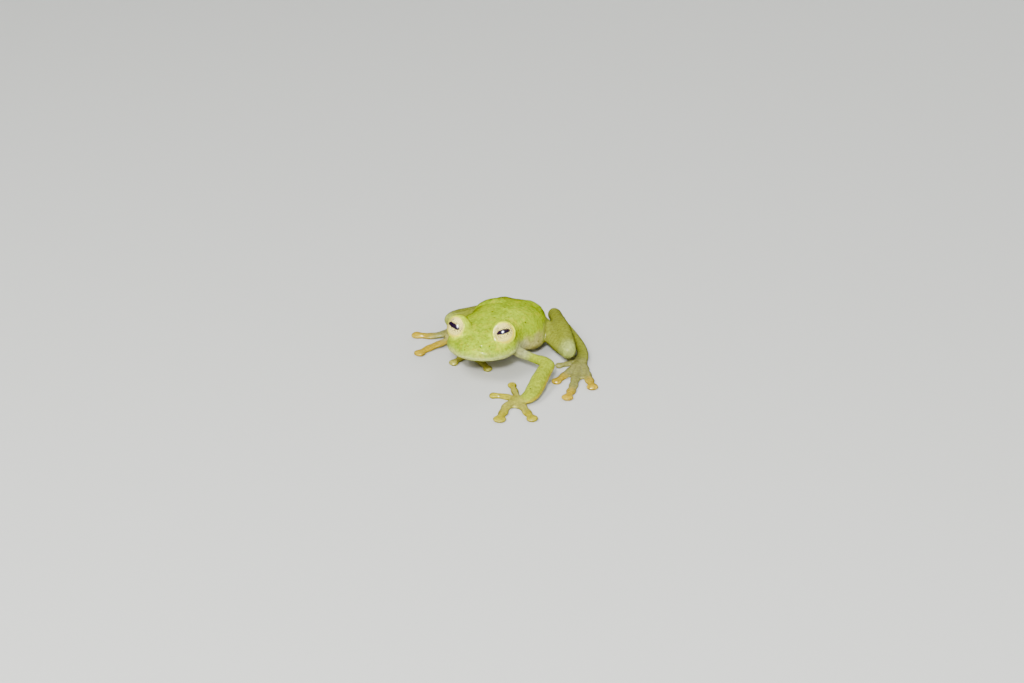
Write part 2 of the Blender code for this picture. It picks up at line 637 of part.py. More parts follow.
def part_flesh(flesh):
    """Split the flesh into named nodes by the seed point each piece lies round."""
    pieces = loose_pieces(flesh.data)
    trees = [BVHTree.FromPolygons(*piece) for piece in pieces]
    nodes = []
    for name, seed in NODES.items():
        distance = [tree.find_nearest(Vector(seed))[3] for tree in trees]
        points, faces = pieces[int(np.argmin(distance))]
        nodes.append(mesh_object(name, [(points, faces)]))
    bpy.data.objects.remove(flesh, do_unlink=True)
    return nodes


def place(nodes):
    """Move the bounding box's bottom centre to the origin and scale to metres."""
    points = np.array([v.co for node in nodes for v in node.data.vertices])
    low, high = points.min(axis=0), points.max(axis=0)
    shift = Matrix.Translation((-(low[0] + high[0]) / 2, -(low[1] + high[1]) / 2, 0.0))
    for node in nodes:
        node.data.transform(Matrix.Scale(MM, 4) @ shift)


def main():
    """Build every node of the frog."""
    clear_scene()
    flesh = rounded_flesh()
    carve_details(flesh)
    nodes = part_flesh(flesh)
    for node in nodes:
        paint(node, SKIN_COLOUR if node.name in ("head", "torso") else LIMB_COLOUR, 0.35)
    for name, side in (("eye_left", 1), ("eye_right", -1)):
        eye = mesh_object(name, [ball(eye_place(side)[0], EYE_RADIUS, rings=12, segments=20)])
        paint(eye, EYE_COLOUR, 0.1)
        nodes.append(eye)
    place(nodes)


main()
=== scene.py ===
"""Looks of a life-size glass frog: one moist skin over its flesh, two eyes and a studio.

Lengths are millimetres in the maker's frame, with X to the frog's left, -Y ahead and the
floor at Z = 0. `Placement` turns them into the row frame in metres.
"""

import logging
import math
from collections.abc import Sequence
from dataclasses import dataclass, field
from enum import Enum

import bmesh
import bpy
import numpy as np
from mathutils import Matrix, Vector, noise
from mathutils.bvhtree import BVHTree


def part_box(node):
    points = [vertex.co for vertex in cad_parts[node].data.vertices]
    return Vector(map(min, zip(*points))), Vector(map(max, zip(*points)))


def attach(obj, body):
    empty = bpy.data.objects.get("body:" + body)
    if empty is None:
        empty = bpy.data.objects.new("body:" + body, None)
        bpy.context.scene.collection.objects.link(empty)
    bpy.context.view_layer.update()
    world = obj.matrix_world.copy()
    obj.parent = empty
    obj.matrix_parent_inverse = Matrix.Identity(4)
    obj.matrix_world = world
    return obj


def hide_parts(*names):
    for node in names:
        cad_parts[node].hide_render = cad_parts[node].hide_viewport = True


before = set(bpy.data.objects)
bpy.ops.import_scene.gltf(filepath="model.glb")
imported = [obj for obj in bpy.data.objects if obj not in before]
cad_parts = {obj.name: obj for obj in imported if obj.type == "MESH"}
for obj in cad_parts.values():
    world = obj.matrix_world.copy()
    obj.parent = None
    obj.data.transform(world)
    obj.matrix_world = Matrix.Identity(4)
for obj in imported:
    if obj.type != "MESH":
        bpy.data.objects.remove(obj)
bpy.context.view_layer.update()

LOG = logging.getLogger("glass_frog")
BODY = "root"
EYE_PLACE = "eye_place"
MM = 0.001
TINY = 1e-6
UP = (0.0, 0.0, 1.0)
# The turns of the rings that round a tube's ends, and the fewest rings along it.
CAP_TURNS = tuple(math.radians(a) for a in (15, 30, 45, 60, 75))
FEWEST_RINGS = 6
# How many points are measured against a line in one step.
POINTS_AT_ONCE = 20000

Array = np.ndarray
Piece = bpy.types.Object
Socket = bpy.types.NodeSocket
Tree = bpy.types.NodeTree
Point = tuple[float, float, float]
Row = tuple[float, ...]
# Where a weight starts to rise and where it is full.
Fade = tuple[float, float]
# The points and faces of a closed surface.
Shape = tuple[list[Point], list[tuple[int, ...]]]
# A dark dot: its centre and radius in metres.
Spot = tuple[Vector, float]


class Side(Enum):
    """The frog's own left, at +X, and right."""

    LEFT = 1
    RIGHT = -1


class Zone(Enum):
    """Parts of the skin with a colour of their own, each a weight on the mesh."""

    ARM = "arm"
    LEG = "leg"
    ROOT = "root"
    HAND = "hand"
    FOOT = "foot"
    FINGERTIP = "fingertip"
    TOETIP = "toetip"
    PALE = "pale"
    # The knees' pale weight is partly a painted highlight.
    KNEE_HIGHLIGHT = "knee_highlight"
    EDGE = "edge"
    LIP = "lip"
    BROW = "brow"
    LID = "lid"


# Curves and closed forms.


def smoothstep(low: float, high: float, value: Array) -> Array:
    """Return 0 below low, 1 above high and a smooth rise between them.

    Args:
        low: where the rise starts; it may be the larger of the two for a fall.
        high: where the rise ends.
        value: numbers to turn into weights.

    Returns:
        The weights, shaped as value.
    """
    t = np.clip((np.asarray(value, float) - low) / (high - low), 0.0, 1.0)
    return t * t * (3.0 - 2.0 * t)


def unit(way: Array) -> Array:
    """Return a vector scaled to length one."""
    way = np.asarray(way, float)
    return way / np.linalg.norm(way)


def units(ways: Array) -> Array:
    """Return rows scaled to length one."""
    return ways / np.linalg.norm(ways, axis=1)[:, None]


def steps_of(line: Array) -> Array:
    """Return the distances from each point of a line to the next."""
    return np.linalg.norm(np.diff(line[:, :3], axis=0), axis=1)


def turns(count: int) -> Array:
    """Return angles spread evenly round a circle."""
    return np.linspace(0.0, 2 * math.pi, count, endpoint=False)


def away_from(place: Array, points: Array) -> Array:
    """Return each point's distance to a place."""
    return np.linalg.norm(points - np.asarray(place, float), axis=1)


def waves(points: Array, per_mm: float) -> Array:
    """Return smooth noise from -1 to 1 at each point."""
    return np.array([noise.noise(Vector(p * per_mm)) for p in points])


def through(rows: Sequence[Row], count: int) -> Array:
    """Return evenly spaced points on a smooth curve through the rows.

    Args:
        rows: points that start with x, y and z and may carry further sizes.
        count: how many points to return.

    Returns:
        The points, one row each, with the further sizes carried along.
    """
    given = np.asarray(rows, float)
    at = np.concatenate([[0.0], np.cumsum(steps_of(given))])
    slope = np.gradient(given, at, axis=0)
    where = np.linspace(0.0, at[-1], count)
    index = np.clip(np.searchsorted(at, where, side="right") - 1, 0, len(given) - 2)
    span = (at[index + 1] - at[index])[:, None]
    t = ((where - at[index])[:, None]) / span
    rise, fall = slope[index] * span, slope[index + 1] * span
    return ((2 * t**3 - 3 * t**2 + 1) * given[index] + (t**3 - 2 * t**2 + t) * rise
            + (3 * t**2 - 2 * t**3) * given[index + 1] + (t**3 - t**2) * fall)


def loft(rings: list, start: Array, end: Array) -> Shape:
    """Return a closed surface through rings of equal count with a pole at each end.

    Args:
        rings: closed rings of points, all turning the same way.
        start: the pole before the first ring.
        end: the pole after the last ring.

    Returns:
        Points and faces of the surface.
    """
    count = len(rings[0])
    points = [tuple(p) for ring in rings for p in ring]
    faces = []
    for level in range(len(rings) - 1):
        for k in range(count):
            a, b = level * count + k, level * count + (k + 1) % count
            faces.append((a, b, b + count, a + count))
    first, last, top = len(points), len(points) + 1, (len(rings) - 1) * count
    points += [tuple(start), tuple(end)]
    for k in range(count):
        after = (k + 1) % count
        faces.append((after, k, first))
        faces.append((top + k, top + after, last))
    return points, faces


def tube(rows: Sequence[Row], per_mm: float = 5.0, sides: int = 28) -> Shape:
    """Return a closed limb with rounded ends through rows of place and half sizes.

    Args:
        rows: x, y, z, half width and half height along the middle line.
        per_mm: rings to a millimetre of length.
        sides: points to a ring.

    Returns:
        Points and faces of the limb.
    """
    length = steps_of(np.asarray(rows, float)).sum()
    line = through(rows, max(FEWEST_RINGS, int(length * per_mm)))
    along = units(np.gradient(line[:, :3], axis=0))
    stations = [(line[0], along[0], -math.sin(a), math.cos(a)) for a in reversed(CAP_TURNS)]
    stations += [(row, way, 0.0, 1.0) for row, way in zip(line, along)]
    stations += [(line[-1], along[-1], math.sin(a), math.cos(a)) for a in CAP_TURNS]
    rings = []
    for row, way, shift, size in stations:
        side = unit(np.cross(way, UP))
        lift = np.cross(side, way)
        middle = row[:3] + way * shift * min(row[3], row[4])
        rings.append([middle + side * row[3] * size * math.cos(a) + lift * row[4] * size * math.sin(a)
                      for a in turns(sides)])
    start = line[0, :3] - along[0] * min(line[0, 3:5])
    end = line[-1, :3] + along[-1] * min(line[-1, 3:5])
    return loft(rings, start, end)


def superellipse(middle: float, half_width: float, levels: Row, power: float,
                 count: int = 72) -> list[tuple[float, float]]:
    """Return a ring of x and z for a body section that is fuller than an ellipse.

    Args:
        middle: x of the section's middle.
        half_width: half its width.
        levels: its lowest level, the level where it is widest, and its highest.
        power: 2 for an ellipse, more for a fuller section.
        count: points to the ring.

    Returns:
        The ring's x and z pairs.
    """
    low, level, high = levels
    ring = []
    for a in turns(count):
        across = math.copysign(abs(math.cos(a)) ** (2 / power), math.cos(a))
        rise = math.copysign(abs(math.sin(a)) ** (2 / power), math.sin(a))
        reach = high - level if rise > 0 else level - low
        ring.append((middle + half_width * across, level + reach * rise))
    return ring


def ellipsoid(centre: Array, axes: Sequence[Array], cut: float = 1.0,
              rings: int = 20, sides: int = 32) -> Shape:
    """Return a closed ellipsoid, cut flat across its third axis.

    Args:
        centre: its centre.
        axes: its three half axes.
        cut: where along the third half axis it is cut, 1 for no cut.
        rings: rings from pole to pole.
        sides: points to a ring.

    Returns:
        Points and faces of the ellipsoid.
    """
    centre = np.asarray(centre, float)
    one, two, three = (np.asarray(a, float) for a in axes)
    limit = math.acos(min(cut, math.cos(math.pi / rings)))
    line = []
    for turn in np.linspace(math.pi, limit, rings)[1:]:
        middle = centre + three * math.cos(turn)
        line.append([middle + (one * math.cos(a) + two * math.sin(a)) * math.sin(turn)
                     for a in turns(sides)])
    return loft(line, centre - three, centre + three * cut)


def torus(centre: Array, way: Array, radius: float, thickness: float,
          around: int = 72, across: int = 16) -> Shape:
    """Return a round ring square to a direction.

    Args:
        centre: the ring's centre.
        way: the direction it is square to.
        radius: from the centre to the ring's own middle line.
        thickness: half the ring's thickness.
        around: steps round the ring.
        across: steps round its section.

    Returns:
        Points and faces of the ring.
    """
    side = unit(np.cross(UP, way))
    lift = np.cross(way, side)
    points, faces = [], []
    for k in range(around):
        a = 2 * math.pi * k / around
        out = side * math.cos(a) + lift * math.sin(a)
        for j in range(across):
            b = 2 * math.pi * j / across
            ring = radius + thickness * math.cos(b)
            points.append(tuple(centre + out * ring + way * thickness * math.sin(b)))
            after, turn = (k + 1) % around, (j + 1) % across
            faces.append((k * across + j, after * across + j, after * across + turn, k * across + turn))
    return points, faces


def mesh_piece(name: str, shapes: list[Shape]) -> Piece:
    """Return an object that holds closed shapes, each facing out.

    Args:
        name: the object's name.
        shapes: points and faces of each shape.

    Returns:
        The object, linked to the scene.
    """
    bm = bmesh.new()
    for points, faces in shapes:
        made = [bm.verts.new(p) for p in points]
        new_faces = [bm.faces.new([made[k] for k in face]) for face in faces]
        bmesh.ops.recalc_face_normals(bm, faces=new_faces)
    mesh = bpy.data.meshes.new(name)
    bm.to_mesh(mesh)
    bm.free()
    piece = bpy.data.objects.new(name, mesh)
    bpy.context.scene.collection.objects.link(piece)
    return piece


def settle(piece: Piece) -> Piece:
    """Apply an object's modifiers to its mesh.

    Args:
        piece: the object.

    Returns:
        The same object, with no modifier left.
    """
    bpy.context.view_layer.update()
    graph = bpy.context.evaluated_depsgraph_get()
    mesh = bpy.data.meshes.new_from_object(piece.evaluated_get(graph))
    piece.modifiers.clear()
    piece.data = mesh
    return piece


def line_distance(points: Array, line: Array) -> tuple[Array, Array]:
    """Return each point's distance to the nearest of a line's samples, and which it is.

    Args:
        points: points to measure from.
        line: closely spaced samples of the line.

    Returns:
        The distances and the indices of the samples.
    """
    place = np.asarray(line, float)[:, :3]
    parts = np.array_split(points, len(points) // POINTS_AT_ONCE + 1)
    index = np.concatenate([((place**2).sum(axis=1) - 2.0 * part @ place.T).argmin(axis=1) for part in parts])
    return np.linalg.norm(points - place[index], axis=1), index


# Forms of the body.


@dataclass
class Head:
    """The head: plan ellipse of the lip line, turned a little to the frog's left."""

    yaw: float = math.radians(4.0)
    neck: tuple[float, float] = (-0.07, 8.0)
    half_width: float = 4.45
    half_length: float = 4.2
    widest_y: float = 4.3
    roundness: float = 2.35
    # Half width lost to each millimetre behind the widest place.
    taper: float = 0.08
    # y, bottom, widest level, top
    levels: tuple[Row, ...] = (
        (0.1, 3.78, 3.95, 4.25), (0.4, 3.52, 3.95, 4.9), (1.0, 3.3, 3.95, 5.4), (2.2, 2.98, 3.95, 5.9),
        (4.0, 2.6, 3.95, 6.35), (6.0, 2.15, 3.9, 6.65), (8.0, 1.75, 3.8, 6.75))
    # Sections from first to last and how many: degrees round the snout, then y up to the nape.
    snout_turns: tuple[float, float, int] = (6.0, 90.0, 30)
    nape_ys: tuple[float, float, int] = (4.6, 8.2, 10)
    snout_level: float = 3.95
    nape: tuple[float, float] = (8.3, 4.2)
    # The eyes, the flesh that carries them and the rim of their lids.
    eye_at: Point = (2.92, 3.68, 6.25)
    mound: float = 1.62
    mound_setback: float = 0.12
    lid_forward: float = 0.6
    lid_outward: float = math.radians(27.0)
    lid_upward: float = math.radians(22.0)
    rim_inset: float = 0.06
    rim_thickness: float = 0.1
    # The mouth line and the roll of the upper lip.
    mouth_level: float = 3.62
    corner_level: float = 3.75
    mouth_sweep: float = math.radians(104.0)
    lip_radius: float = 0.26
    lip_inset: float = 0.2
    lip_level: float = 3.98
    lip_stations: int = 41
    # The nostrils: a small rise each, with its pit on the outer slope.
    nostril_at: Point = (0.66, 0.95, 5.2)
    nostril_bump: float = 0.26
    nostril_sink: float = 0.12
    pit_spread: float = 1.22
    pit_shift: tuple[float, float] = (-0.04, 0.08)
    # The ridge from eye to nostril.
    ridge_from: Point = (2.35, 2.6, 5.3)
    ridge_to: Point = (0.75, 1.05, 4.95)
    ridge_radius: float = 0.42
    ridge_fall: float = 0.14
    ridge_stations: int = 8

    def turn(self, point: Row) -> Array:
        """Turn a point of the head's own frame about the neck.

        Args:
            point: x, y and z with the head straight ahead.

        Returns:
            The turned point.
        """
        x, y = point[0], point[1] - self.neck[1]
        c, s = math.cos(self.yaw), math.sin(self.yaw)
        return np.array([self.neck[0] + c * x - s * y, self.neck[1] + s * x + c * y, point[2]])

    def aim(self, outward: float, upward: float, side: Side) -> Array:
        """Return a direction of the head.

        Args:
            outward: how far it turns from straight ahead to its own side.
            upward: how far it rises.
            side: the side that outward goes to.

        Returns:
            The direction, of length one.
        """
        x, y = side.value * math.sin(outward) * math.cos(upward), -math.cos(outward) * math.cos(upward)
        c, s = math.cos(self.yaw), math.sin(self.yaw)
        return np.array([c * x - s * y, s * x + c * y, math.sin(upward)])

    def skull(self) -> Shape:
        """Return the head's closed form.

        Returns:
            Points and faces from the snout to the nape.
        """
        levels = np.array(self.levels)
        snout = self.widest_y - self.half_length * np.cos(np.radians(np.linspace(*self.snout_turns)))
        rings = []
        for y in [*snout, *np.linspace(*self.nape_ys)]:
            lead = (self.widest_y - y) / self.half_length
            wide = self.half_width - self.taper * (y - self.widest_y)
            if lead > 0:
                wide = self.half_width * math.sqrt(1 - lead**2)
            heights = tuple(np.interp(y, levels[:, 0], levels[:, k]) for k in (1, 2, 3))
            ring = superellipse(0.0, wide, heights, self.roundness)
            rings.append([self.turn((x, y, z)) for x, z in ring])
        start = self.turn((0.0, self.widest_y - self.half_length, self.snout_level))
        return loft(rings, start, self.turn((0.0, *self.nape)))

    def along_jaw(self, turn: float, inset: float, level: float) -> Array:
        """Return a point of the head's plan ellipse.

        Args:
            turn: how far round it lies from straight ahead.
            inset: how far it lies inside the ellipse.
            level: its height.

        Returns:
            The point.
        """
        return self.turn(((self.half_width - inset) * math.sin(turn),
                          self.widest_y - (self.half_length - inset) * math.cos(turn), level))

    def lip(self) -> Shape:
        """Return the soft roll along the upper lip.

        Returns:
            Points and faces of the roll.
        """
        sweep = np.linspace(-self.mouth_sweep, self.mouth_sweep, self.lip_stations)
        size = (self.lip_radius, self.lip_radius)
        return tube([(*self.along_jaw(turn, self.lip_inset, self.lip_level), *size) for turn in sweep])

    def mouth_line(self, count: int = 400) -> Array:
        """Return points along the mouth line, before they are laid on the skin.

        Args:
            count: how many points.

        Returns:
            The points from one corner of the mouth to the other.
        """
        line = []
        for turn in np.linspace(-self.mouth_sweep, self.mouth_sweep, count):
            rise = (turn / self.mouth_sweep) ** 2 * (self.corner_level - self.mouth_level)
            line.append(self.along_jaw(turn, 0.0, self.mouth_level + rise))
        return np.array(line)

    def eye_centre(self, side: Side) -> Array:
        """Return the centre of one eyeball."""
        return self.turn((self.eye_at[0] * side.value, *self.eye_at[1:]))

    def lid_way(self, side: Side) -> Array:
        """Return the direction that the lids open to."""
        return self.aim(self.lid_outward, self.lid_upward, side)

    def mounds(self, side: Side, eyeball: float) -> list[Shape]:
        """Return the flesh that carries one eye and the rim of its lids.

        Args:
            side: which eye.
            eyeball: the eyeball's radius.

        Returns:
            The bowl of flesh and the rim.
        """
        centre, way = self.eye_centre(side), self.lid_way(side)
        across = unit(np.cross(UP, way))
        lift = np.cross(way, across)
        bowl = ellipsoid(centre - way * self.mound_setback,
                         (across * self.mound, lift * self.mound, way * self.mound),
                         (self.lid_forward + self.mound_setback) / self.mound)
        opening = math.sqrt(eyeball**2 - self.lid_forward**2)
        rim = torus(centre + way * (self.lid_forward - self.rim_inset), way,
                    opening + self.rim_inset, self.rim_thickness)
        return [bowl, rim]

    def nostril(self, side: Side, inset: float = 0.0) -> Array:
        """Return a point at one nostril, inset below its top."""
        return self.turn((self.nostril_at[0] * side.value, self.nostril_at[1], self.nostril_at[2] - inset))

    def nostril_pit(self, side: Side) -> Array:
        """Return the place of one nostril's opening, on the outer slope of its rise."""
        (x, y, z), (ahead, above) = self.nostril_at, self.pit_shift
        return self.turn((x * side.value * self.pit_spread, y + ahead, z + above))

    def canthus(self, side: Side) -> Shape:
        """Return the low ridge from the eye to the nostril.

        Args:
            side: which eye.

        Returns:
            Points and faces of the ridge.
        """
        rows = []
        for t in np.linspace(0.0, 1.0, self.ridge_stations):
            x, y, z = (a + (b - a) * t for a, b in zip(self.ridge_from, self.ridge_to))
            size = self.ridge_radius - self.ridge_fall * t
            rows.append((*self.turn((x * side.value, y, z)), size, size))
        return tube(rows)

    def shapes(self, eyeball: float) -> list[Shape]:
        """Return every closed form of the head.

        Args:
            eyeball: the eyeballs' radius.

        Returns:
            Skull, lip and, for each side, eye mound, lid rim, ridge and nostril.
        """
        made = [self.skull(), self.lip()]
        for side in Side:
            made += self.mounds(side, eyeball)
            made.append(self.canthus(side))
            made.append(ellipsoid(self.nostril(side, self.nostril_sink), np.eye(3) * self.nostril_bump))
        return made


@dataclass
class Trunk:
    """The trunk from behind the eyes to the vent."""

    roundness: float = 2.5
    rings: int = 90
    # How far the poles stand before the first section and behind the last.
    before: float = 0.1
    behind: float = 0.25
    # y, middle x, half width, bottom, widest level, top
    sections: tuple[Row, ...] = (
        (5.2, 0.1, 4.0, 2.4, 3.9, 6.45), (8.0, 0.25, 4.15, 1.6, 3.2, 6.75),
        (10.0, 0.75, 4.75, 0.88, 2.4, 6.85), (12.0, 0.72, 5.0, 0.0, 2.15, 6.7),
        (14.0, 0.85, 4.6, -0.1, 2.2, 6.15), (15.7, 0.95, 3.85, -0.08, 2.25, 5.35),
        (17.2, 1.0, 3.1, 0.3, 2.3, 4.45), (18.5, 1.1, 2.2, 0.95, 2.3, 3.5),
        (19.2, 1.15, 1.35, 1.5, 2.3, 2.95), (19.5, 1.15, 0.55, 1.9, 2.25, 2.6))

    def shape(self) -> Shape:
        """Return the trunk's closed form.

        Returns:
            Points and faces of the trunk.
        """
        line = through([(row[1], row[0], 0.0) + row[2:] for row in self.sections], self.rings)
        rings = []
        for x, y, _, wide, *heights in line:
            rings.append([(px, y, pz) for px, pz in superellipse(x, wide, heights, self.roundness)])
        first, last = line[0], line[-1]
        return loft(rings, (first[0], first[1] - self.before, first[5]),
                    (last[0], last[1] + self.behind, last[5]))


@dataclass
class Limb:
    """One length of an arm or leg, as rows of x, y, z, half width and half height."""

    name: str
    zone: Zone
    rows: tuple[Row, ...]
    # Where along its length its colour comes in, as shares of it.
    fade: Fade = (0.0, 0.0)

    def shape(self) -> Shape:
        """Return the limb's closed form."""
        return tube(self.rows)

    def samples(self, count: int = 80) -> Array:
        """Return close samples of its line with the share of its length run so far."""
        return np.column_stack([through(self.rows, count), np.linspace(0.0, 1.0, count)])


@dataclass
class Digit:
    """A finger or toe: its middle line, half width, radius of its disc and how far its gold runs."""

    path: tuple[Row, ...]
    half_width: float
    disc: float
    gold: float = 1.0
    level: float = 0.27
    height: float = 0.34
    disc_height: float = 0.34
    # The disc's half sizes across, along and up, as shares of its radius and height.
    disc_form: Row = (1.04, 0.97, 1.05)
    # The shaft swells at each joint, is drawn in before its disc and rises to the palm.
    joint_spacing: float = 1.7
    joint_swell: float = 0.1
    neck_at: float = 1.15
    neck_reach: float = 1.2
    neck_depth: float = 0.14
    palm_rise: float = 0.1
    palm_share: tuple[float, float] = (0.55, 0.45)
    samples: int = 26
    rings_per_mm: float = 7.0

    def levelled(self) -> list[Row]:
        """Return the path with the usual level where none is stated."""
        return [p if len(p) == 3 else (*p, self.level) for p in self.path]

    def line(self, count: int) -> Array:
        """Return points evenly along the middle line."""
        return through(self.levelled(), count)

    def shaft(self) -> Shape:
        """Return the jointed shaft, drawn in before its disc.

        Returns:
            Points and faces of the shaft.
        """
        line = through([(*p, self.half_width, self.height) for p in self.levelled()], self.samples)
        steps = steps_of(line)
        left = steps.sum() - np.concatenate([[0.0], np.cumsum(steps)])
        line[:, 3] *= 1.0 + self.joint_swell * np.cos(left * 2 * math.pi / self.joint_spacing)
        off = np.abs(left - self.neck_at * self.disc) / (self.neck_reach * self.disc)
        line[:, 3] *= 1.0 - self.neck_depth * np.clip(1.0 - off, 0.0, 1.0)
        start, length = self.palm_share
        line[:, 4] = self.height + self.palm_rise * np.clip((left / left[0] - start) / length, 0.0, 1.0)
        return tube(line, self.rings_per_mm)

    def pad(self) -> Shape:
        """Return the widened disc, a little broader than long.

        Returns:
            Points and faces of the disc.
        """
        line = self.line(12)
        way = unit((line[-1] - line[-3]) * (1.0, 1.0, 0.0))
        across = np.array([way[1], -way[0], 0.0])
        wide, long, high = self.disc_form
        return ellipsoid(line[-1], (across * self.disc * wide, way * self.disc * long,
                                    np.array([0.0, 0.0, self.disc_height * high])))


@dataclass
class Extremity:
    """A hand or foot: its digits, and webs as digit, digit, reach and hollow."""

    name: str
    digits: tuple[Digit, ...]
    webs: tuple[tuple[int, int, float, float], ...]
    web_thickness: float = 0.3
    web_sink: float = 0.02
    steps_along: int = 14
    steps_across: int = 12
    samples: int = 80

    def zones(self) -> tuple[Zone, Zone]:
        """Return the colour zones of its flat and of its tips."""
        return (Zone.HAND, Zone.FINGERTIP) if self.name.startswith("hand") else (Zone.FOOT, Zone.TOETIP)

    def web(self, one: int, two: int, share: float, dip: float) -> Shape:
        """Return a closed membrane between two digits with a hollow free edge.

        Args:
            one: the first digit.
            two: the second digit.
            share: how far along the digits the web reaches.
            dip: how far its free edge is drawn back between them.

        Returns:
            Points and faces of the membrane.
        """
        count, across = self.steps_along, self.steps_across
        lines = [self.digits[k].line(self.samples + 1)[: int(self.samples * share) + 1] for k in (one, two)]
        points, faces = [], []
        for height in (-0.5, 0.5):
            for j in range(across + 1):
                s = j / across
                reach = 1.0 - dip * 4 * s * (1 - s)
                for i in range(count + 1):
                    picks = [line[int(round((len(line) - 1) * reach * i / count))] for line in lines]
                    at = picks[0] * (1 - s) + picks[1] * s
                    points.append((at[0], at[1], at[2] - self.web_sink + height * self.web_thickness))
        row, layer = count + 1, (count + 1) * (across + 1)
        for j in range(across):
            for i in range(count):
                a, b, c, d = j * row + i, j * row + i + 1, (j + 1) * row + i + 1, (j + 1) * row + i
                faces.append((a, b, c, d))
                faces.append((a + layer, d + layer, c + layer, b + layer))
        edge = ([j * row for j in range(across)] + [across * row + i for i in range(count)]
                + [j * row + count for j in range(across, 0, -1)] + list(range(count, 0, -1)))
        for k, a in enumerate(edge):
            b = edge[(k + 1) % len(edge)]
            faces.append((b, a, a + layer, b + layer))
        return points, faces

    def shapes(self) -> list[Shape]:
        """Return every closed form of the hand or foot."""
        made = [digit.shaft() for digit in self.digits] + [digit.pad() for digit in self.digits]
        return made + [self.web(*row) for row in self.webs]


@dataclass
class UlnarFold:
    """The narrow fold of skin along a forearm's outer edge."""

    arm: Limb
    # The samples of the arm's line that it runs along, of how many.
    span: tuple[int, int] = (30, 56)
    samples: int = 60
    inset: float = 0.12
    drop: float = 0.28
    radius: float = 0.2
    taper: float = 0.15

    def line(self) -> Array:
        """Return the fold's middle line.

        Returns:
            Points from the elbow to the wrist.
        """
        line = through(self.arm.rows, self.samples)[slice(*self.span)]
        way = units(np.gradient(line[:, :3], axis=0))
        out = units(np.cross(way, UP) * -1.0)
        return line[:, :3] + out * (line[:, 3:4] - self.inset) - np.array([0.0, 0.0, self.drop])

    def shape(self) -> Shape:
        """Return the fold's closed form.

        Returns:
            Points and faces, thinner towards both ends.
        """
        line = self.line()
        size = self.radius * np.sin(np.linspace(self.taper, math.pi - self.taper, len(line))) ** 0.5
        return tube([(*p, s, s) for p, s in zip(line, size)])


@dataclass(frozen=True)
class Furrow:
    """A soft groove of the back or flank: its line, its width, and its depth, below zero for a rise."""

    line: tuple[Point, ...]
    width: float
    depth: float


LIMBS = (
    Limb("arm_left", Zone.ARM, (
        (2.3, 8.4, 2.9, 1.0, 1.0), (3.7, 6.9, 2.55, 0.75, 0.7), (5.25, 6.1, 2.5, 0.62, 0.6),
        (6.7, 5.65, 2.45, 0.6, 0.58), (8.0, 5.25, 2.4, 0.76, 0.7), (8.7, 4.75, 2.3, 0.9, 0.76),
        (8.68, 3.7, 2.05, 0.94, 0.76), (8.62, 2.0, 1.7, 0.99, 0.76), (8.65, 0.2, 1.3, 1.0, 0.7),
        (8.5, -1.4, 0.92, 0.98, 0.56), (7.9, -2.1, 0.6, 0.92, 0.46), (7.2, -2.3, 0.45, 0.8, 0.42)),
        (0.12, 0.24)),
    Limb("arm_right", Zone.ARM, (
        (-1.9, 8.6, 2.9, 1.0, 1.0), (-3.95, 9.15, 2.4, 0.72, 0.7), (-5.05, 10.1, 2.0, 0.56, 0.53),
        (-5.5, 11.2, 1.6, 0.56, 0.48), (-5.6, 11.75, 1.25, 0.56, 0.46), (-5.35, 11.45, 0.8, 0.56, 0.42),
        (-4.7, 10.5, 0.72, 0.66, 0.42), (-3.75, 9.5, 0.66, 0.7, 0.42), (-3.0, 8.75, 0.48, 0.74, 0.4)),
        (0.2, 0.3)),
    Limb("thigh_left", Zone.LEG, (
        (2.6, 16.6, 2.4, 1.4, 1.3), (5.0, 14.4, 2.35, 1.2, 1.2), (6.8, 12.6, 2.15, 1.06, 1.1),
        (8.6, 10.7, 2.1, 1.02, 1.0), (9.75, 9.5, 2.3, 0.98, 1.0)), (0.2, 0.4)),
    Limb("shank_left", Zone.LEG, (
        (9.85, 9.35, 2.45, 1.0, 1.02), (8.9, 11.3, 2.75, 1.08, 1.02), (7.5, 13.9, 2.9, 1.06, 1.0),
        (6.0, 16.6, 2.7, 0.92, 0.9), (4.7, 18.9, 2.35, 0.86, 0.86))),
    Limb("tarsus_left", Zone.LEG, (
        (4.7, 19.0, 2.15, 0.82, 0.82), (6.35, 17.6, 1.7, 0.68, 0.66), (8.4, 15.7, 1.2, 0.66, 0.62),
        (10.1, 13.7, 0.85, 0.68, 0.56), (10.95, 11.9, 0.65, 0.78, 0.5), (11.15, 10.4, 0.5, 0.9, 0.44))),
    Limb("thigh_right", Zone.LEG, (
        (-1.4, 16.2, 2.5, 1.4, 1.3), (-3.6, 14.9, 2.75, 1.1, 1.1), (-4.9, 13.1, 3.05, 0.9, 0.95),
        (-5.8, 11.7, 3.2, 0.87, 0.92), (-6.35, 11.0, 3.25, 0.85, 0.9)), (0.25, 0.5)),
    Limb("shank_right", Zone.LEG, (
        (-6.55, 10.95, 3.3, 0.9, 0.94), (-6.6, 12.3, 3.0, 0.94, 0.94), (-6.3, 13.9, 2.6, 0.92, 0.92),
        (-5.65, 15.8, 2.2, 0.86, 0.86), (-5.2, 17.4, 1.85, 0.82, 0.82), (-4.6, 19.9, 1.35, 0.8, 0.8))),
    Limb("tarsus_right", Zone.LEG, (
        (-4.65, 20.05, 1.2, 0.76, 0.76), (-5.8, 19.0, 0.9, 0.66, 0.6), (-6.75, 17.3, 0.7, 0.64, 0.54),
        (-7.1, 15.6, 0.6, 0.7, 0.48), (-7.2, 14.3, 0.55, 0.84, 0.44))),
)

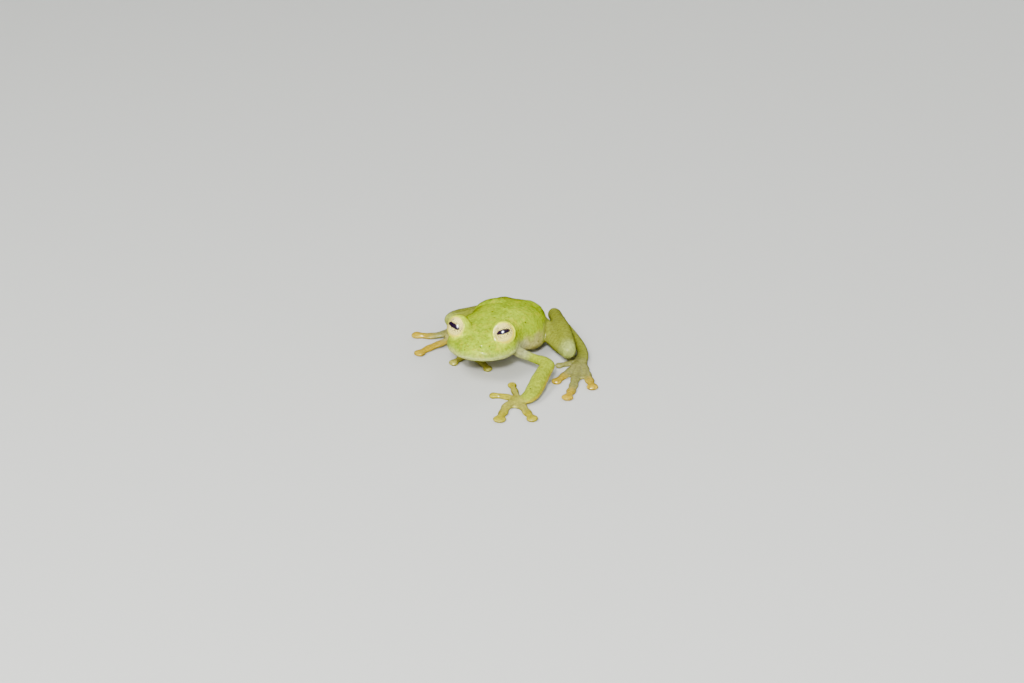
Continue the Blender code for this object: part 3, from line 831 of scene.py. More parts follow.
EXTREMITIES = (
    Extremity("hand_left", (
        Digit(((7.0, -1.5), (6.2, -0.1), (5.1, 1.75)), 0.45, 0.58),
        Digit(((6.9, -1.8), (5.1, -1.45), (3.87, -1.7)), 0.5, 0.57, gold=1.6),
        Digit(((6.9, -2.2), (6.45, -3.7), (6.6, -5.6), (6.77, -7.35)), 0.6, 0.8),
        Digit(((7.3, -2.2), (8.35, -3.35), (9.4, -4.6), (10.46, -5.85)), 0.56, 0.72)),
        ((0, 1, 0.22, 0.3), (1, 2, 0.22, 0.3), (2, 3, 0.52, 0.3))),
    # The right hand's fingertips get little gold: painted shade, as they lie in the shade under the chin.
    Extremity("hand_right", (
        Digit(((-2.7, 8.8), (-2.2, 9.2), (-1.75, 9.6)), 0.36, 0.42, gold=0.15),
        Digit(((-2.6, 8.4), (-1.4, 8.3), (-0.35, 8.1)), 0.38, 0.5, gold=0.15),
        Digit(((-2.7, 8.2), (-1.6, 7.1), (-0.35, 6.0), (0.6, 5.05)), 0.48, 0.62, gold=0.15),
        Digit(((-3.3, 8.2), (-3.6, 6.9), (-4.03, 5.15)), 0.48, 0.6, gold=0.15)),
        ((1, 2, 0.3, 0.3), (2, 3, 0.42, 0.3))),
    Extremity("foot_left", (
        Digit(((10.9, 11.6), (10.0, 11.7), (9.3, 11.6)), 0.42, 0.46, gold=0.1),
        Digit(((10.8, 10.6), (9.8, 9.9), (8.78, 8.95)), 0.45, 0.52, gold=0.1),
        Digit(((11.0, 10.0), (10.65, 8.3), (10.37, 6.6), (9.94, 4.7)), 0.55, 0.66),
        Digit(((11.3, 10.0), (11.6, 7.8), (12.2, 4.9), (12.55, 2.9), (12.66, 1.0)), 0.58, 0.74),
        Digit(((11.5, 10.4), (12.3, 8.9), (13.3, 7.1), (14.65, 4.8)), 0.58, 0.74)),
        ((1, 2, 0.42, 0.3), (2, 3, 0.72, 0.3), (3, 4, 0.74, 0.3))),
    Extremity("foot_right", (
        Digit(((-6.9, 15.2), (-6.2, 15.5), (-5.4, 15.5)), 0.34, 0.4),
        Digit(((-6.9, 14.6), (-6.0, 14.4), (-5.1, 14.4)), 0.36, 0.44),
        Digit(((-7.0, 14.2), (-6.3, 13.6), (-5.6, 13.45)), 0.38, 0.45),
        Digit(((-7.1, 14.0, 0.55), (-7.05, 12.4, 0.8), (-6.75, 10.9, 0.9), (-6.85, 9.85, 0.8),
               (-7.45, 9.1, 0.6), (-8.13, 8.45, 0.42), (-8.65, 7.5, 0.3), (-9.15, 6.3, 0.27)),
              0.58, 0.74, gold=2.4),
        Digit(((-7.3, 14.3, 0.5), (-7.6, 13.2, 0.5), (-8.1, 12.3, 0.45), (-9.0, 11.6, 0.35),
               (-10.3, 11.2, 0.27), (-11.4, 11.0, 0.27)), 0.66, 0.74)),
        ((2, 3, 0.16, 0.3), (3, 4, 0.3, 0.3))),
)

FURROWS = (
    Furrow(((-3.2, 11.2, 5.3), (-1.9, 10.9, 6.0), (-0.8, 10.9, 6.4), (0.2, 11.3, 6.6)), 0.34, 0.15),
    Furrow(((-2.8, 12.3, 5.5), (-1.6, 12.3, 6.2), (-0.7, 12.4, 6.5)), 0.75, -0.14),
    Furrow(((3.0, 15.1, 5.6), (3.9, 15.0, 5.2)), 0.85, -0.24),
    Furrow(((-1.1, 15.2, 5.5), (-2.0, 15.1, 5.1)), 0.85, -0.2),
    Furrow(((4.5, 7.9, 3.9), (4.75, 8.0, 3.0), (4.7, 8.1, 2.2)), 0.16, 0.07),
    Furrow(((4.9, 8.9, 3.5), (5.1, 9.1, 2.6), (5.0, 9.3, 1.8)), 0.2, 0.06),
    Furrow(((5.3, 10.6, 3.2), (5.4, 11.0, 2.2)), 0.24, 0.06),
)
# Small dark pigment dots: a place near the skin and a radius.
DOTS = (
    ((0.1, 8.2, 6.7), 0.15), ((4.4, 9.0, 5.7), 0.11), ((5.4, 10.2, 2.6), 0.11), ((1.2, 9.7, 6.8), 0.12),
    ((0.9, 6.9, 6.7), 0.09), ((-0.9, 1.2, 5.3), 0.09), ((-0.7, 0.6, 4.7), 0.08), ((0.7, 1.6, 5.6), 0.08),
    ((2.2, 1.5, 5.3), 0.08), ((7.3, 12.2, 3.7), 0.1), ((8.3, 10.7, 2.0), 0.09), ((8.5, -0.9, 1.5), 0.11),
    ((2.9, 12.9, 6.3), 0.09), ((-1.5, 7.2, 6.5), 0.08),
)
# The nostrils' pits get a dark dot of painted shade, of this radius.
NOSTRIL_SHADE_DOT = 0.07
# Where arms and thighs leave the body, and how far their flesh flows into it.
LIMB_ROOTS = (
    ((3.6, 7.0, 2.6), 1.5), ((-3.6, 9.0, 2.4), 1.2), ((4.6, 14.6, 2.3), 1.8), ((-3.9, 14.7, 2.8), 1.5),
)
# The left shoulder, and both knees with the most that they pale: partly the knees' own paler skin, partly a
# painted highlight where light catches their rounded fronts.
SHOULDER = (4.4, 6.6, 2.6)
KNEE_HIGHLIGHTS = (((9.95, 9.3, 2.5), 1.0), ((-6.6, 10.8, 3.3), 0.5))
# The skin's unevenness: waves to a millimetre and height in millimetres.
UNEVENNESS = ((0.9, 0.045), (2.6, 0.014), (5.5, 0.006))


@dataclass
class Placement:
    """The shift from the maker's frame to the row frame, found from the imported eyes."""

    shift: Array

    @classmethod
    def from_frame(cls, head: Head) -> "Placement":
        """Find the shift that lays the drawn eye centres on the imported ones.

        Args:
            head: the head that carries the drawn eyes.

        Returns:
            The placement.
        """
        shifts = []
        for side in Side:
            low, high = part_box(f"eye_{side.name.lower()}")
            packed = np.array((low + high) / 2) / MM
            shifts.append(head.eye_centre(side) - packed)
        return cls(np.mean(shifts, axis=0))

    def point(self, place: Array) -> Vector:
        """Return a maker's point in the row frame, in metres."""
        return Vector((np.asarray(place, float) - self.shift) * MM)

    def lay(self, piece: Piece) -> None:
        """Move a piece drawn in the maker's frame into the row frame."""
        piece.data.transform(Matrix.Scale(MM, 4) @ Matrix.Translation(Vector(-self.shift)))


# The skin's surface.


@dataclass
class Surface:
    """A mesh held as arrays, so that it can be shaped point by point."""

    piece: Piece
    points: Array = field(init=False)
    edges: Array = field(init=False)

    def __post_init__(self) -> None:
        """Read the mesh."""
        self.read()

    def read(self) -> None:
        """Read points and edges from the mesh."""
        mesh = self.piece.data
        self.points = np.zeros(len(mesh.vertices) * 3)
        mesh.vertices.foreach_get("co", self.points)
        self.points = self.points.reshape(-1, 3)
        self.edges = np.zeros(len(mesh.edges) * 2, int)
        mesh.edges.foreach_get("vertices", self.edges)
        self.edges = self.edges.reshape(-1, 2)

    def write(self) -> None:
        """Write the points back to the mesh."""
        self.piece.data.vertices.foreach_set("co", self.points.ravel())
        self.piece.data.update()

    def normals(self) -> Array:
        """Write the points and return the outward direction at each.

        Returns:
            The directions, one row each.
        """
        self.write()
        out = np.zeros(len(self.points) * 3)
        self.piece.data.vertex_normals.foreach_get("vector", out)
        return out.reshape(-1, 3)

    def smooth(self, weight: Array, rounds: int) -> None:
        """Draw each point towards the mean of its neighbours.

        Args:
            weight: how strongly each point is drawn, from 0 to 1.
            rounds: how many times.
        """
        a, b = self.edges[:, 0], self.edges[:, 1]
        total = len(self.points)
        count = np.bincount(self.edges.ravel(), minlength=total).astype(float)
        share = (weight * 0.5)[:, None]
        for _ in range(rounds):
            mean = np.column_stack([
                np.bincount(a, self.points[b, k], total) + np.bincount(b, self.points[a, k], total)
                for k in range(3)]) / count[:, None]
            self.points += (mean - self.points) * share

    def refine(self, near: Array) -> None:
        """Halve the edges of some faces.

        Args:
            near: for each point whether it is marked; a face counts when all its points are.
        """
        self.write()
        bm = bmesh.new()
        bm.from_mesh(self.piece.data)
        bm.verts.ensure_lookup_table()
        marked = [f for f in bm.faces if all(near[v.index] for v in f.verts)]
        edges = list({e for f in marked for e in f.edges})
        bmesh.ops.subdivide_edges(bm, edges=edges, cuts=1, use_grid_fill=True, smooth=0.0)
        bmesh.ops.triangulate(bm, faces=[f for f in bm.faces if len(f.verts) > 4])
        bm.to_mesh(self.piece.data)
        bm.free()
        self.read()

    def on_surface(self, line: Array) -> Array:
        """Lay a line on the nearest skin.

        Args:
            line: its points.

        Returns:
            The points of the surface that are nearest to them.
        """
        self.write()
        mesh = self.piece.data
        tree = BVHTree.FromPolygons([v.co for v in mesh.vertices], [p.vertices for p in mesh.polygons])
        return np.array([tree.find_nearest(Vector(p))[0] for p in line])

    def groove(self, line: Array, width: float, depth: float) -> None:
        """Press a soft groove into the surface.

        Args:
            line: points along the groove.
            width: how far from the line it fades.
            depth: how deep it is, below zero for a rise.
        """
        distance, _ = line_distance(self.points, line)
        self.points -= self.normals() * (depth * np.exp(-(distance / width) ** 2))[:, None]

    def weigh(self, name: str, values: Array) -> None:
        """Store a weight for each point under a name."""
        layer = self.piece.data.attributes.new(name, "FLOAT", "POINT")
        layer.data.foreach_set("value", np.clip(values, 0.0, 1.0).astype(np.float32))


@dataclass
class FrogSkin:
    """The one skin over head, trunk and limbs, with its folds, lids and colour zones."""

    head: Head
    trunk: Trunk
    fold: UlnarFold
    eyeball: float
    # The drape's grid, and how far and how many times it is softened.
    voxel: float = 0.1
    softness: float = 0.5
    rounds: int = 5
    # The flow behind each eye: outer and inner distance from its centre, and how far behind.
    mound_outer: Fade = (2.9, 2.1)
    mound_inner: Fade = (1.2, 1.6)
    mound_behind: Fade = (0.0, -0.35)
    mound_rounds: int = 40
    # The flow at the limbs' roots: the share of its reach where it is full.
    root_core: float = 0.4
    root_rounds: int = 30
    # The flow over the nape: y from ahead, y from behind and height.
    nape_ahead: Fade = (6.4, 7.4)
    nape_behind: Fade = (9.9, 8.9)
    nape_above: Fade = (2.9, 3.5)
    nape_rounds: int = 90
    # Sockets: room round the eyeball, the share of it that is hollowed, and the lid's lap over it.
    socket_play: float = 0.01
    socket_share: float = 0.999
    lid_lap: float = 0.15
    lid_ring: float = 0.78
    # How near to mouth, lids and nostrils the mesh is made finer.
    mouth_near: float = 0.45
    lid_near: float = 0.5
    nostril_near: float = 0.55
    # Width and depth of the mouth line and of the nostrils' pits, and the way the pits run.
    mouth_groove: tuple[float, float] = (0.11, 0.13)
    pit_groove: tuple[float, float] = (0.12, 0.17)
    pit_run: tuple[float, float] = (0.08, 0.02)
    furrow_samples: int = 24
    # The unevenness keeps off the floor and the eyeballs.
    floor_fade: Fade = (0.05, 0.35)
    eye_fade: Fade = (0.05, 0.6)
    # Where the colour zones of limbs and digits fade, in mm unless said otherwise.
    limb_edge: Fade = (1.9, 1.15)  # in the limb's radii
    digit_edge: Fade = (1.1, 0.6)
    digit_top: Fade = (1.25, 0.85)
    digit_samples: int = 30
    tip_reach: float = 4.2  # in the disc's radii
    tip_core: float = 0.2
    # The pale belly ends at a height that the skin's slope and slow waves move.
    pale_height: Fade = (4.5, 2.8)
    pale_slope: float = 0.7
    pale_wave: float = 0.9
    pale_waves_per_mm: float = 0.8
    # Where the zones of shoulder, knees (partly a painted highlight), fold, lip, lids and brows fade.
    root_edge: Fade = (2.6, 1.2)
    root_top: Fade = (3.9, 3.3)
    knee_highlight_edge: Fade = (1.9, 0.7)
    fold_edge: Fade = (0.55, 0.2)
    lip_above: float = 0.16
    lip_edge: Fade = (0.5, 0.14)
    lip_glow: Fade = (1.1, 0.3)
    lip_glow_share: float = 0.32
    lid_facing: Fade = (0.26, 0.4)  # 1 is straight ahead of the lids, -1 straight behind
    lid_edge: Fade = (0.2, 0.06)
    brow_facing: Fade = (-0.75, 0.0)
    brow_edge: Fade = (0.75, 0.2)
    surface: Surface = field(init=False)
    weights: dict[Zone, Array] = field(init=False)

    def shapes(self) -> list[Shape]:
        """Return every closed form that the skin is drawn over.

        Returns:
            Points and faces of each form.
        """
        made = self.head.shapes(self.eyeball) + [self.trunk.shape()]
        made += [limb.shape() for limb in LIMBS]
        made.append(self.fold.shape())
        for extremity in EXTREMITIES:
            made += extremity.shapes()
        return made

    def drape(self) -> None:
        """Draw one closed surface over every form and round it off."""
        piece = mesh_piece("frog_skin", self.shapes())
        remesh = piece.modifiers.new("Remesh", "REMESH")
        remesh.mode = "VOXEL"
        remesh.voxel_size = self.voxel
        soften = piece.modifiers.new("Soften", "SMOOTH")
        soften.factor = self.softness
        soften.iterations = self.rounds
        self.surface = Surface(settle(piece))
        LOG.info("skin draped: %d points", len(self.surface.points))

    def from_eye(self, side: Side) -> tuple[Array, Array]:
        """Return where each point of the skin lies, seen from one eye.

        Args:
            side: which eye.

        Returns:
            The distances to its centre, and 1 ahead of its lids to -1 behind them.
        """
        v = self.surface.points - self.head.eye_centre(side)
        distance = np.linalg.norm(v, axis=1)
        return distance, (v @ self.head.lid_way(side)) / np.maximum(distance, TINY)

    def off_eyeball(self, fade: Fade, distance: Array) -> Array:
        """Return a fade that starts from the eyeball's surface, by distance from its centre."""
        return smoothstep(self.eyeball + fade[0], self.eyeball + fade[1], distance)

    def blend_roots(self) -> None:
        """Let the flesh flow where the eye mounds, arms and thighs leave the body."""
        s = self.surface
        weight = np.zeros(len(s.points))
        for side in Side:
            distance, facing = self.from_eye(side)
            behind = (smoothstep(*self.mound_outer, distance) * smoothstep(*self.mound_inner, distance)
                      * smoothstep(*self.mound_behind, facing))
            weight = np.maximum(weight, behind)
        s.smooth(weight, self.mound_rounds)
        weight = np.zeros(len(s.points))
        for place, reach in LIMB_ROOTS:
            flow = smoothstep(reach, reach * self.root_core, away_from(place, s.points))
            weight = np.maximum(weight, flow)
        s.smooth(weight, self.root_rounds)
        _, y, z = s.points.T
        s.smooth(smoothstep(*self.nape_ahead, y) * smoothstep(*self.nape_behind, y)
                 * smoothstep(*self.nape_above, z), self.nape_rounds)

    def open_sockets(self) -> None:
        """Hollow the flesh behind each eyeball; the lid's edge is pressed a little into it."""
        s = self.surface
        radius = self.eyeball + self.socket_play
        for side in Side:
            centre, way = self.head.eye_centre(side), self.head.lid_way(side)
            v = s.points - centre
            ahead = v @ way
            off = v - ahead[:, None] * way
            ring = np.linalg.norm(off, axis=1)
            inside = (np.linalg.norm(v, axis=1) < radius) & (ring < radius * self.socket_share)
            inside &= (ahead < self.head.lid_forward - self.lid_lap) | (ring < self.eyeball * self.lid_ring)
            deep = -np.sqrt(np.maximum(radius**2 - ring**2, 0.0))
            s.points[inside] += (deep - ahead)[inside, None] * way

    def lay_flat(self) -> None:
        """Press what would sink below the floor into small flats on it."""
        self.surface.points[:, 2] = np.maximum(self.surface.points[:, 2], 0.0)

    def carve(self) -> None:
        """Press the mouth, the furrows and the nostrils into the skin."""
        s = self.surface
        mouth = s.on_surface(self.head.mouth_line())
        near = line_distance(s.points, mouth)[0] < self.mouth_near
        for side in Side:
            distance = away_from(self.head.eye_centre(side), s.points)
            near |= (distance > self.eyeball) & (distance < self.eyeball + self.lid_near)
            near |= away_from(self.head.nostril(side), s.points) < self.nostril_near
        s.refine(near)
        s.groove(mouth, *self.mouth_groove)
        for furrow in FURROWS:
            line = s.on_surface(through(furrow.line, self.furrow_samples))
            s.groove(line, furrow.width, furrow.depth)
        for side in Side:
            place = self.head.nostril_pit(side)
            end = place + (self.pit_run[0] * side.value, self.pit_run[1], 0.0)
            s.groove(s.on_surface(np.array([place, end])), *self.pit_groove)

    def roughen(self) -> None:
        """Add the fine unevenness of living skin."""
        s = self.surface
        normal = s.normals()
        lumps = np.zeros(len(s.points))
        for per_mm, height in UNEVENNESS:
            lumps += waves(s.points, per_mm) * height
        free = smoothstep(*self.floor_fade, s.points[:, 2])
        for side in Side:
            free *= self.off_eyeball(self.eye_fade, away_from(self.head.eye_centre(side), s.points))
        s.points += normal * (lumps * free)[:, None]

    def paint(self, zone: Zone, share: Array) -> None:
        """Raise a zone's weight to a share wherever the share is higher."""
        self.weights[zone] = np.maximum(self.weights[zone], share)

    def paint_limbs(self) -> Array:
        """Weigh the zones of arms and legs.

        Returns:
            How much of each point belongs to no limb.
        """
        points = self.surface.points
        bare = np.ones(len(points))
        for limb in LIMBS:
            line = limb.samples()
            distance, index = line_distance(points, line)
            radius = (line[index, 3] + line[index, 4]) / 2
            on = smoothstep(*self.limb_edge, distance / radius)
            if limb.fade[1]:
                on *= smoothstep(*limb.fade, line[index, 5])
            self.paint(limb.zone, on)
            bare *= 1.0 - on
        return bare

    def paint_digits(self) -> None:
        """Weigh the flats of hands and feet and the gold of their tips."""
        points = self.surface.points
        for extremity in EXTREMITIES:
            flat, end = extremity.zones()
            for digit in extremity.digits:
                line = digit.line(self.digit_samples)
                distance, _ = line_distance(points, line)
                on = smoothstep(*self.digit_edge, distance) * smoothstep(*self.digit_top, points[:, 2])
                self.paint(flat, on)
                reach = digit.disc * self.tip_reach * digit.gold
                self.paint(end, smoothstep(reach, reach * self.tip_core, away_from(line[-1], points)) * on)

    def paint_body(self, bare: Array) -> None:
        """Weigh belly, shoulder, knees, partly a painted highlight, and the fold's edge.

        Args:
            bare: how much of each point belongs to no limb.
        """
        points, normal = self.surface.points, self.surface.normals()
        wave = waves(points, self.pale_waves_per_mm)
        height = points[:, 2] + normal[:, 2] * self.pale_slope + wave * self.pale_wave
        self.paint(Zone.PALE, bare * smoothstep(*self.pale_height, height))
        self.paint(Zone.ROOT, smoothstep(*self.root_edge, away_from(SHOULDER, points))
                   * smoothstep(*self.root_top, points[:, 2]))
        # The knees are painted paler: partly their own colour, partly a painted highlight on their rounded
        # fronts.
        for place, most in KNEE_HIGHLIGHTS:
            self.paint(Zone.KNEE_HIGHLIGHT, most * smoothstep(*self.knee_highlight_edge, away_from(place, points)))
        self.paint(Zone.EDGE, smoothstep(*self.fold_edge, line_distance(points, self.fold.line())[0]))

    def paint_face(self) -> None:
        """Weigh the lip, the lids' rims and the brows."""
        lip = self.head.mouth_line() + np.array([0.0, 0.0, self.lip_above])
        apart = line_distance(self.surface.points, lip)[0]
        self.paint(Zone.LIP, smoothstep(*self.lip_edge, apart))
        self.paint(Zone.LIP, self.lip_glow_share * smoothstep(*self.lip_glow, apart))
        for side in Side:
            distance, facing = self.from_eye(side)
            self.paint(Zone.LID, smoothstep(*self.lid_facing, facing)
                       * self.off_eyeball(self.lid_edge, distance))
            self.paint(Zone.BROW, smoothstep(*self.brow_facing, facing)
                       * self.off_eyeball(self.brow_edge, distance))

    def build(self) -> None:
        """Make the finished skin in the maker's frame, with a weight for each zone."""
        self.drape()
        self.blend_roots()
        self.open_sockets()
        self.carve()
        self.roughen()
        self.lay_flat()
        self.weights = {zone: np.zeros(len(self.surface.points)) for zone in Zone}
        self.paint_body(self.paint_limbs())
        self.paint_digits()
        self.paint_face()
        for zone, weight in self.weights.items():
            self.surface.weigh(zone.value, weight)
        self.surface.write()
        self.surface.piece.data.shade_smooth()

    def dress(self, placement: Placement) -> None:
        """Args:
            placement: the shift to the row frame.
        """
        # The nostrils' pits get dots of painted shade among the pigment dots.
        spots = [*DOTS, *((self.head.nostril_pit(side), NOSTRIL_SHADE_DOT) for side in Side)]
        laid = self.surface.on_surface(np.array([place for place, _ in spots]))
        dots = [(placement.point(place), radius * MM) for place, (_, radius) in zip(laid, spots)]
        skin = self.surface.piece
        placement.lay(skin)
        skin.data.materials.append(MoistSkin().material(dots))
        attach(skin, BODY)
        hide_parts(*[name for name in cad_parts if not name.startswith("eye_")])
        LOG.info("%s: %d faces", skin.name, len(skin.data.polygons))


# Finishes.


def linear(code: str, alpha: float = 1.0) -> tuple[float, float, float, float]:
    """Return an sRGB hex colour in linear light.

    Args:
        code: the colour as # and six hex digits.
        alpha: how opaque it is.

    Returns:
        Linear red, green, blue and alpha.
    """
    values = [int(code.lstrip("#")[k:k + 2], 16) / 255 for k in (0, 2, 4)]
    red, green, blue = (v / 12.92 if v <= 0.04045 else ((v + 0.055) / 1.055) ** 2.4 for v in values)
    return red, green, blue, alpha


def per_metre(size_mm: float) -> float:
    """Return the texture scale that gives one cell to a size in millimetres."""
    return 1.0 / (size_mm * MM)


def add_node(tree: Tree, kind: str, inputs: dict | None = None, **settings: object) -> bpy.types.Node:
    """Add a node, set it and link what feeds it.

    Args:
        tree: the material's node tree.
        kind: Blender's name of the node type, without the ShaderNode before it.
        inputs: for each socket, a value or what feeds it: a socket, or a node for its first live output.
        settings: properties of the node.

    Returns:
        The node.
    """
    node = tree.nodes.new(f"ShaderNode{kind}")
    for name, value in settings.items():
        setattr(node, name, value)
    for name, value in (inputs or {}).items():
        if isinstance(value, bpy.types.Node):
            value = next(socket for socket in value.outputs if socket.enabled)
        if isinstance(value, Socket):
            tree.links.new(value, node.inputs[name])
        else:
            node.inputs[name].default_value = value
    return node


def blank_material(name: str) -> tuple[bpy.types.Material, Tree]:
    """Start a material.

    Args:
        name: what it is made of.

    Returns:
        The material and its emptied node tree.
    """
    material = bpy.data.materials.new(name)
    material.use_nodes = True
    material.node_tree.nodes.clear()
    return material, material.node_tree


def layered(tree: Tree, colour: object, layers: list[tuple[object, object]]) -> bpy.types.Node:
    """Lay colours over a colour, one after the other.

    Args:
        tree: the material's node tree.
        colour: the colour at the bottom, as a value, a socket or a node.
        layers: for each layer, how much of it covers what lies below, and its colour.

    Returns:
        The node that gives the colour on top.
    """
    for share, above in layers:
        colour = add_node(tree, "Mix", {0: share, 6: colour, 7: above}, data_type="RGBA")
    return colour


@dataclass(frozen=True)
class Pattern:
    """A natural pattern of a real size, which gives a share between least and most."""

    texture: str
    size_mm: float
    start: float
    end: float
    least: float = 0.0
    most: float = 1.0
    detail: float = 0.0
    roughness: float = 0.5

    def share(self, tree: Tree, place: object, **settings: object) -> bpy.types.Node:
        """Draw the pattern.

        Args:
            tree: the material's node tree.
            place: the coordinates that it is drawn in, in metres.
            settings: further properties of its texture.

        Returns:
            The node that gives its share.
        """
        drawn = add_node(tree, self.texture, {
            "Vector": place, "Scale": per_metre(self.size_mm), "Detail": self.detail,
            "Roughness": self.roughness}, **settings)
        return add_node(tree, "MapRange", {
            "Value": drawn, "From Min": self.start, "From Max": self.end, "To Min": self.least,
            "To Max": self.most})


@dataclass(frozen=True)
class Tint:
    """The colour of one zone and how much of it covers the skin below."""

    zone: Zone
    code: str
    share: float


@dataclass(frozen=True)
class MoistSkin:
    """Living frog skin: thin, moist and half see-through, so that light spreads in it."""

    back: str = "#A2BE00"
    back_deep: str = "#82A000"
    speckle: str = "#D8C814"
    # In the order that they are laid over the back's green.
    tints: tuple[Tint, ...] = (
        # The knees' pale tint is partly a painted highlight.
        Tint(Zone.ARM, "#9CAA24", 0.85), Tint(Zone.LEG, "#868A30", 0.9), Tint(Zone.KNEE_HIGHLIGHT, "#BCCB70", 0.6),
        Tint(Zone.PALE, "#BDB26C", 0.85), Tint(Zone.ROOT, "#BEC08A", 0.8), Tint(Zone.HAND, "#A09C3C", 0.9),
        # The feet's tint is darker than the hands', partly as painted shade.
        Tint(Zone.FOOT, "#868648", 0.9), Tint(Zone.EDGE, "#C9B01C", 0.7),
        Tint(Zone.FINGERTIP, "#ACA010", 0.85), Tint(Zone.TOETIP, "#C2A000", 0.85),
        Tint(Zone.LIP, "#D2DC8C", 0.75), Tint(Zone.BROW, "#C4DC00", 0.85), Tint(Zone.LID, "#E2E630", 0.85))
    # Dark pigment, also used as painted shade in the nostrils' pits.
    dot: str = "#2E3008"
    dot_share: float = 0.85
    dot_edge_mm: float = 0.05
    # Clouds of deeper green, yellow mottling, pigment grains, and a fine tone over all zones.
    clouds: Pattern = Pattern("TexNoise", 2.5, 0.42, 0.66, detail=4.0, roughness=0.6)
    mottling: Pattern = Pattern("TexNoise", 0.9, 0.52, 0.72, most=0.5, detail=3.0, roughness=0.7)
    grains: Pattern = Pattern("TexVoronoi", 0.3, 0.34, 0.1, most=0.5)
    tone: Pattern = Pattern("TexNoise", 0.33, 0.3, 0.7, least=0.54, detail=2.0)
    # Skin granules, their rounding, how strongly they show and how high they stand.
    granule_mm: float = 0.22
    granule_round: float = 0.6
    granule_strength: float = 0.35
    granule_height_mm: float = 0.03
    # Light thrown back by the skin's own pigment cells is yellow-green.
    shine: str = "#F4FF90"
    shine_level: float = 0.12
    # Water-rich tissue, about 1.38; a film of mucus makes it glossy.
    ior: float = 1.38
    roughness: float = 0.42
    film: float = 1.0
    film_ior: float = 1.34
    film_roughness: float = 0.1
    # Light spreads about half a millimetre in thin frog skin.
    spread: Point = (0.9, 1.0, 0.35)
    spread_mm: float = 0.5
    spread_share: float = 0.35

    def dotted(self, tree: Tree, place: Socket, dots: list[Spot]) -> bpy.types.Node:
        """Draw the dark pigment dots and the painted shade in the nostrils' pits.

        Args:
            tree: the material's node tree.
            place: the coordinates in metres.
            dots: centre and radius of each dot in metres.

        Returns:
            The node that gives the share of dark pigment.
        """
        nearest = None
        for centre, radius in dots:
            away = add_node(tree, "VectorMath", {0: place, 1: centre}, operation="DISTANCE")
            edge = add_node(tree, "Math", {0: away, 1: radius}, operation="SUBTRACT")
            if nearest is not None:
                edge = add_node(tree, "Math", {0: nearest, 1: edge}, operation="MINIMUM")
            nearest = edge
        return add_node(tree, "MapRange", {
            "Value": nearest, "From Min": self.dot_edge_mm * MM, "From Max": -self.dot_edge_mm * MM,
            "To Max": self.dot_share})

    def colour(self, tree: Tree, place: Socket, dots: list[Spot]) -> bpy.types.Node:
        """Lay the back's green, its patterns, every zone's tint and the dots.

        Args:
            tree: the material's node tree.
            place: the coordinates in metres.
            dots: centre and radius of each dot in metres.

        Returns:
            The node that gives the skin's colour.
        """
        layers = [(self.clouds.share(tree, place), linear(self.back_deep)),
                  (self.mottling.share(tree, place), linear(self.speckle)),
                  (self.grains.share(tree, place), linear(self.speckle))]
        for tint in self.tints:
            weight = add_node(tree, "Attribute", attribute_name=tint.zone.value).outputs["Fac"]
            part = add_node(tree, "Math", {0: weight, 1: tint.share}, operation="MULTIPLY")
            layers.append((part, linear(tint.code)))
        layers.append((self.dotted(tree, place, dots), linear(self.dot)))
        top = layered(tree, linear(self.back), layers)
        tone = self.tone.share(tree, place)
        return add_node(tree, "VectorMath", {0: top, "Scale": tone}, operation="SCALE")

    def material(self, dots: list[Spot]) -> bpy.types.Material:
        """Return the skin's material.

        Args:
            dots: centre and radius of each dark dot in metres.

        Returns:
            The material.
        """
        material, tree = blank_material("moist_frog_skin")
        place = add_node(tree, "TexCoord").outputs["Object"]
        granule = add_node(tree, "TexVoronoi", {
            "Vector": place, "Scale": per_metre(self.granule_mm), "Smoothness": self.granule_round},
            feature="SMOOTH_F1")
        bump = add_node(tree, "Bump", {"Height": granule, "Strength": self.granule_strength,
                                       "Distance": self.granule_height_mm * MM}, invert=True)
        shader = add_node(tree, "BsdfPrincipled", {
            "Base Color": self.colour(tree, place, dots), "Roughness": self.roughness, "IOR": self.ior,
            "Specular IOR Level": self.shine_level, "Specular Tint": linear(self.shine),
            "Subsurface Weight": self.spread_share, "Subsurface Radius": self.spread,
            "Subsurface Scale": self.spread_mm * MM, "Coat Weight": self.film,
            "Coat Roughness": self.film_roughness, "Coat IOR": self.film_ior, "Normal": bump,
            "Coat Normal": bump})
        add_node(tree, "OutputMaterial", {"Surface": shader})
        return material


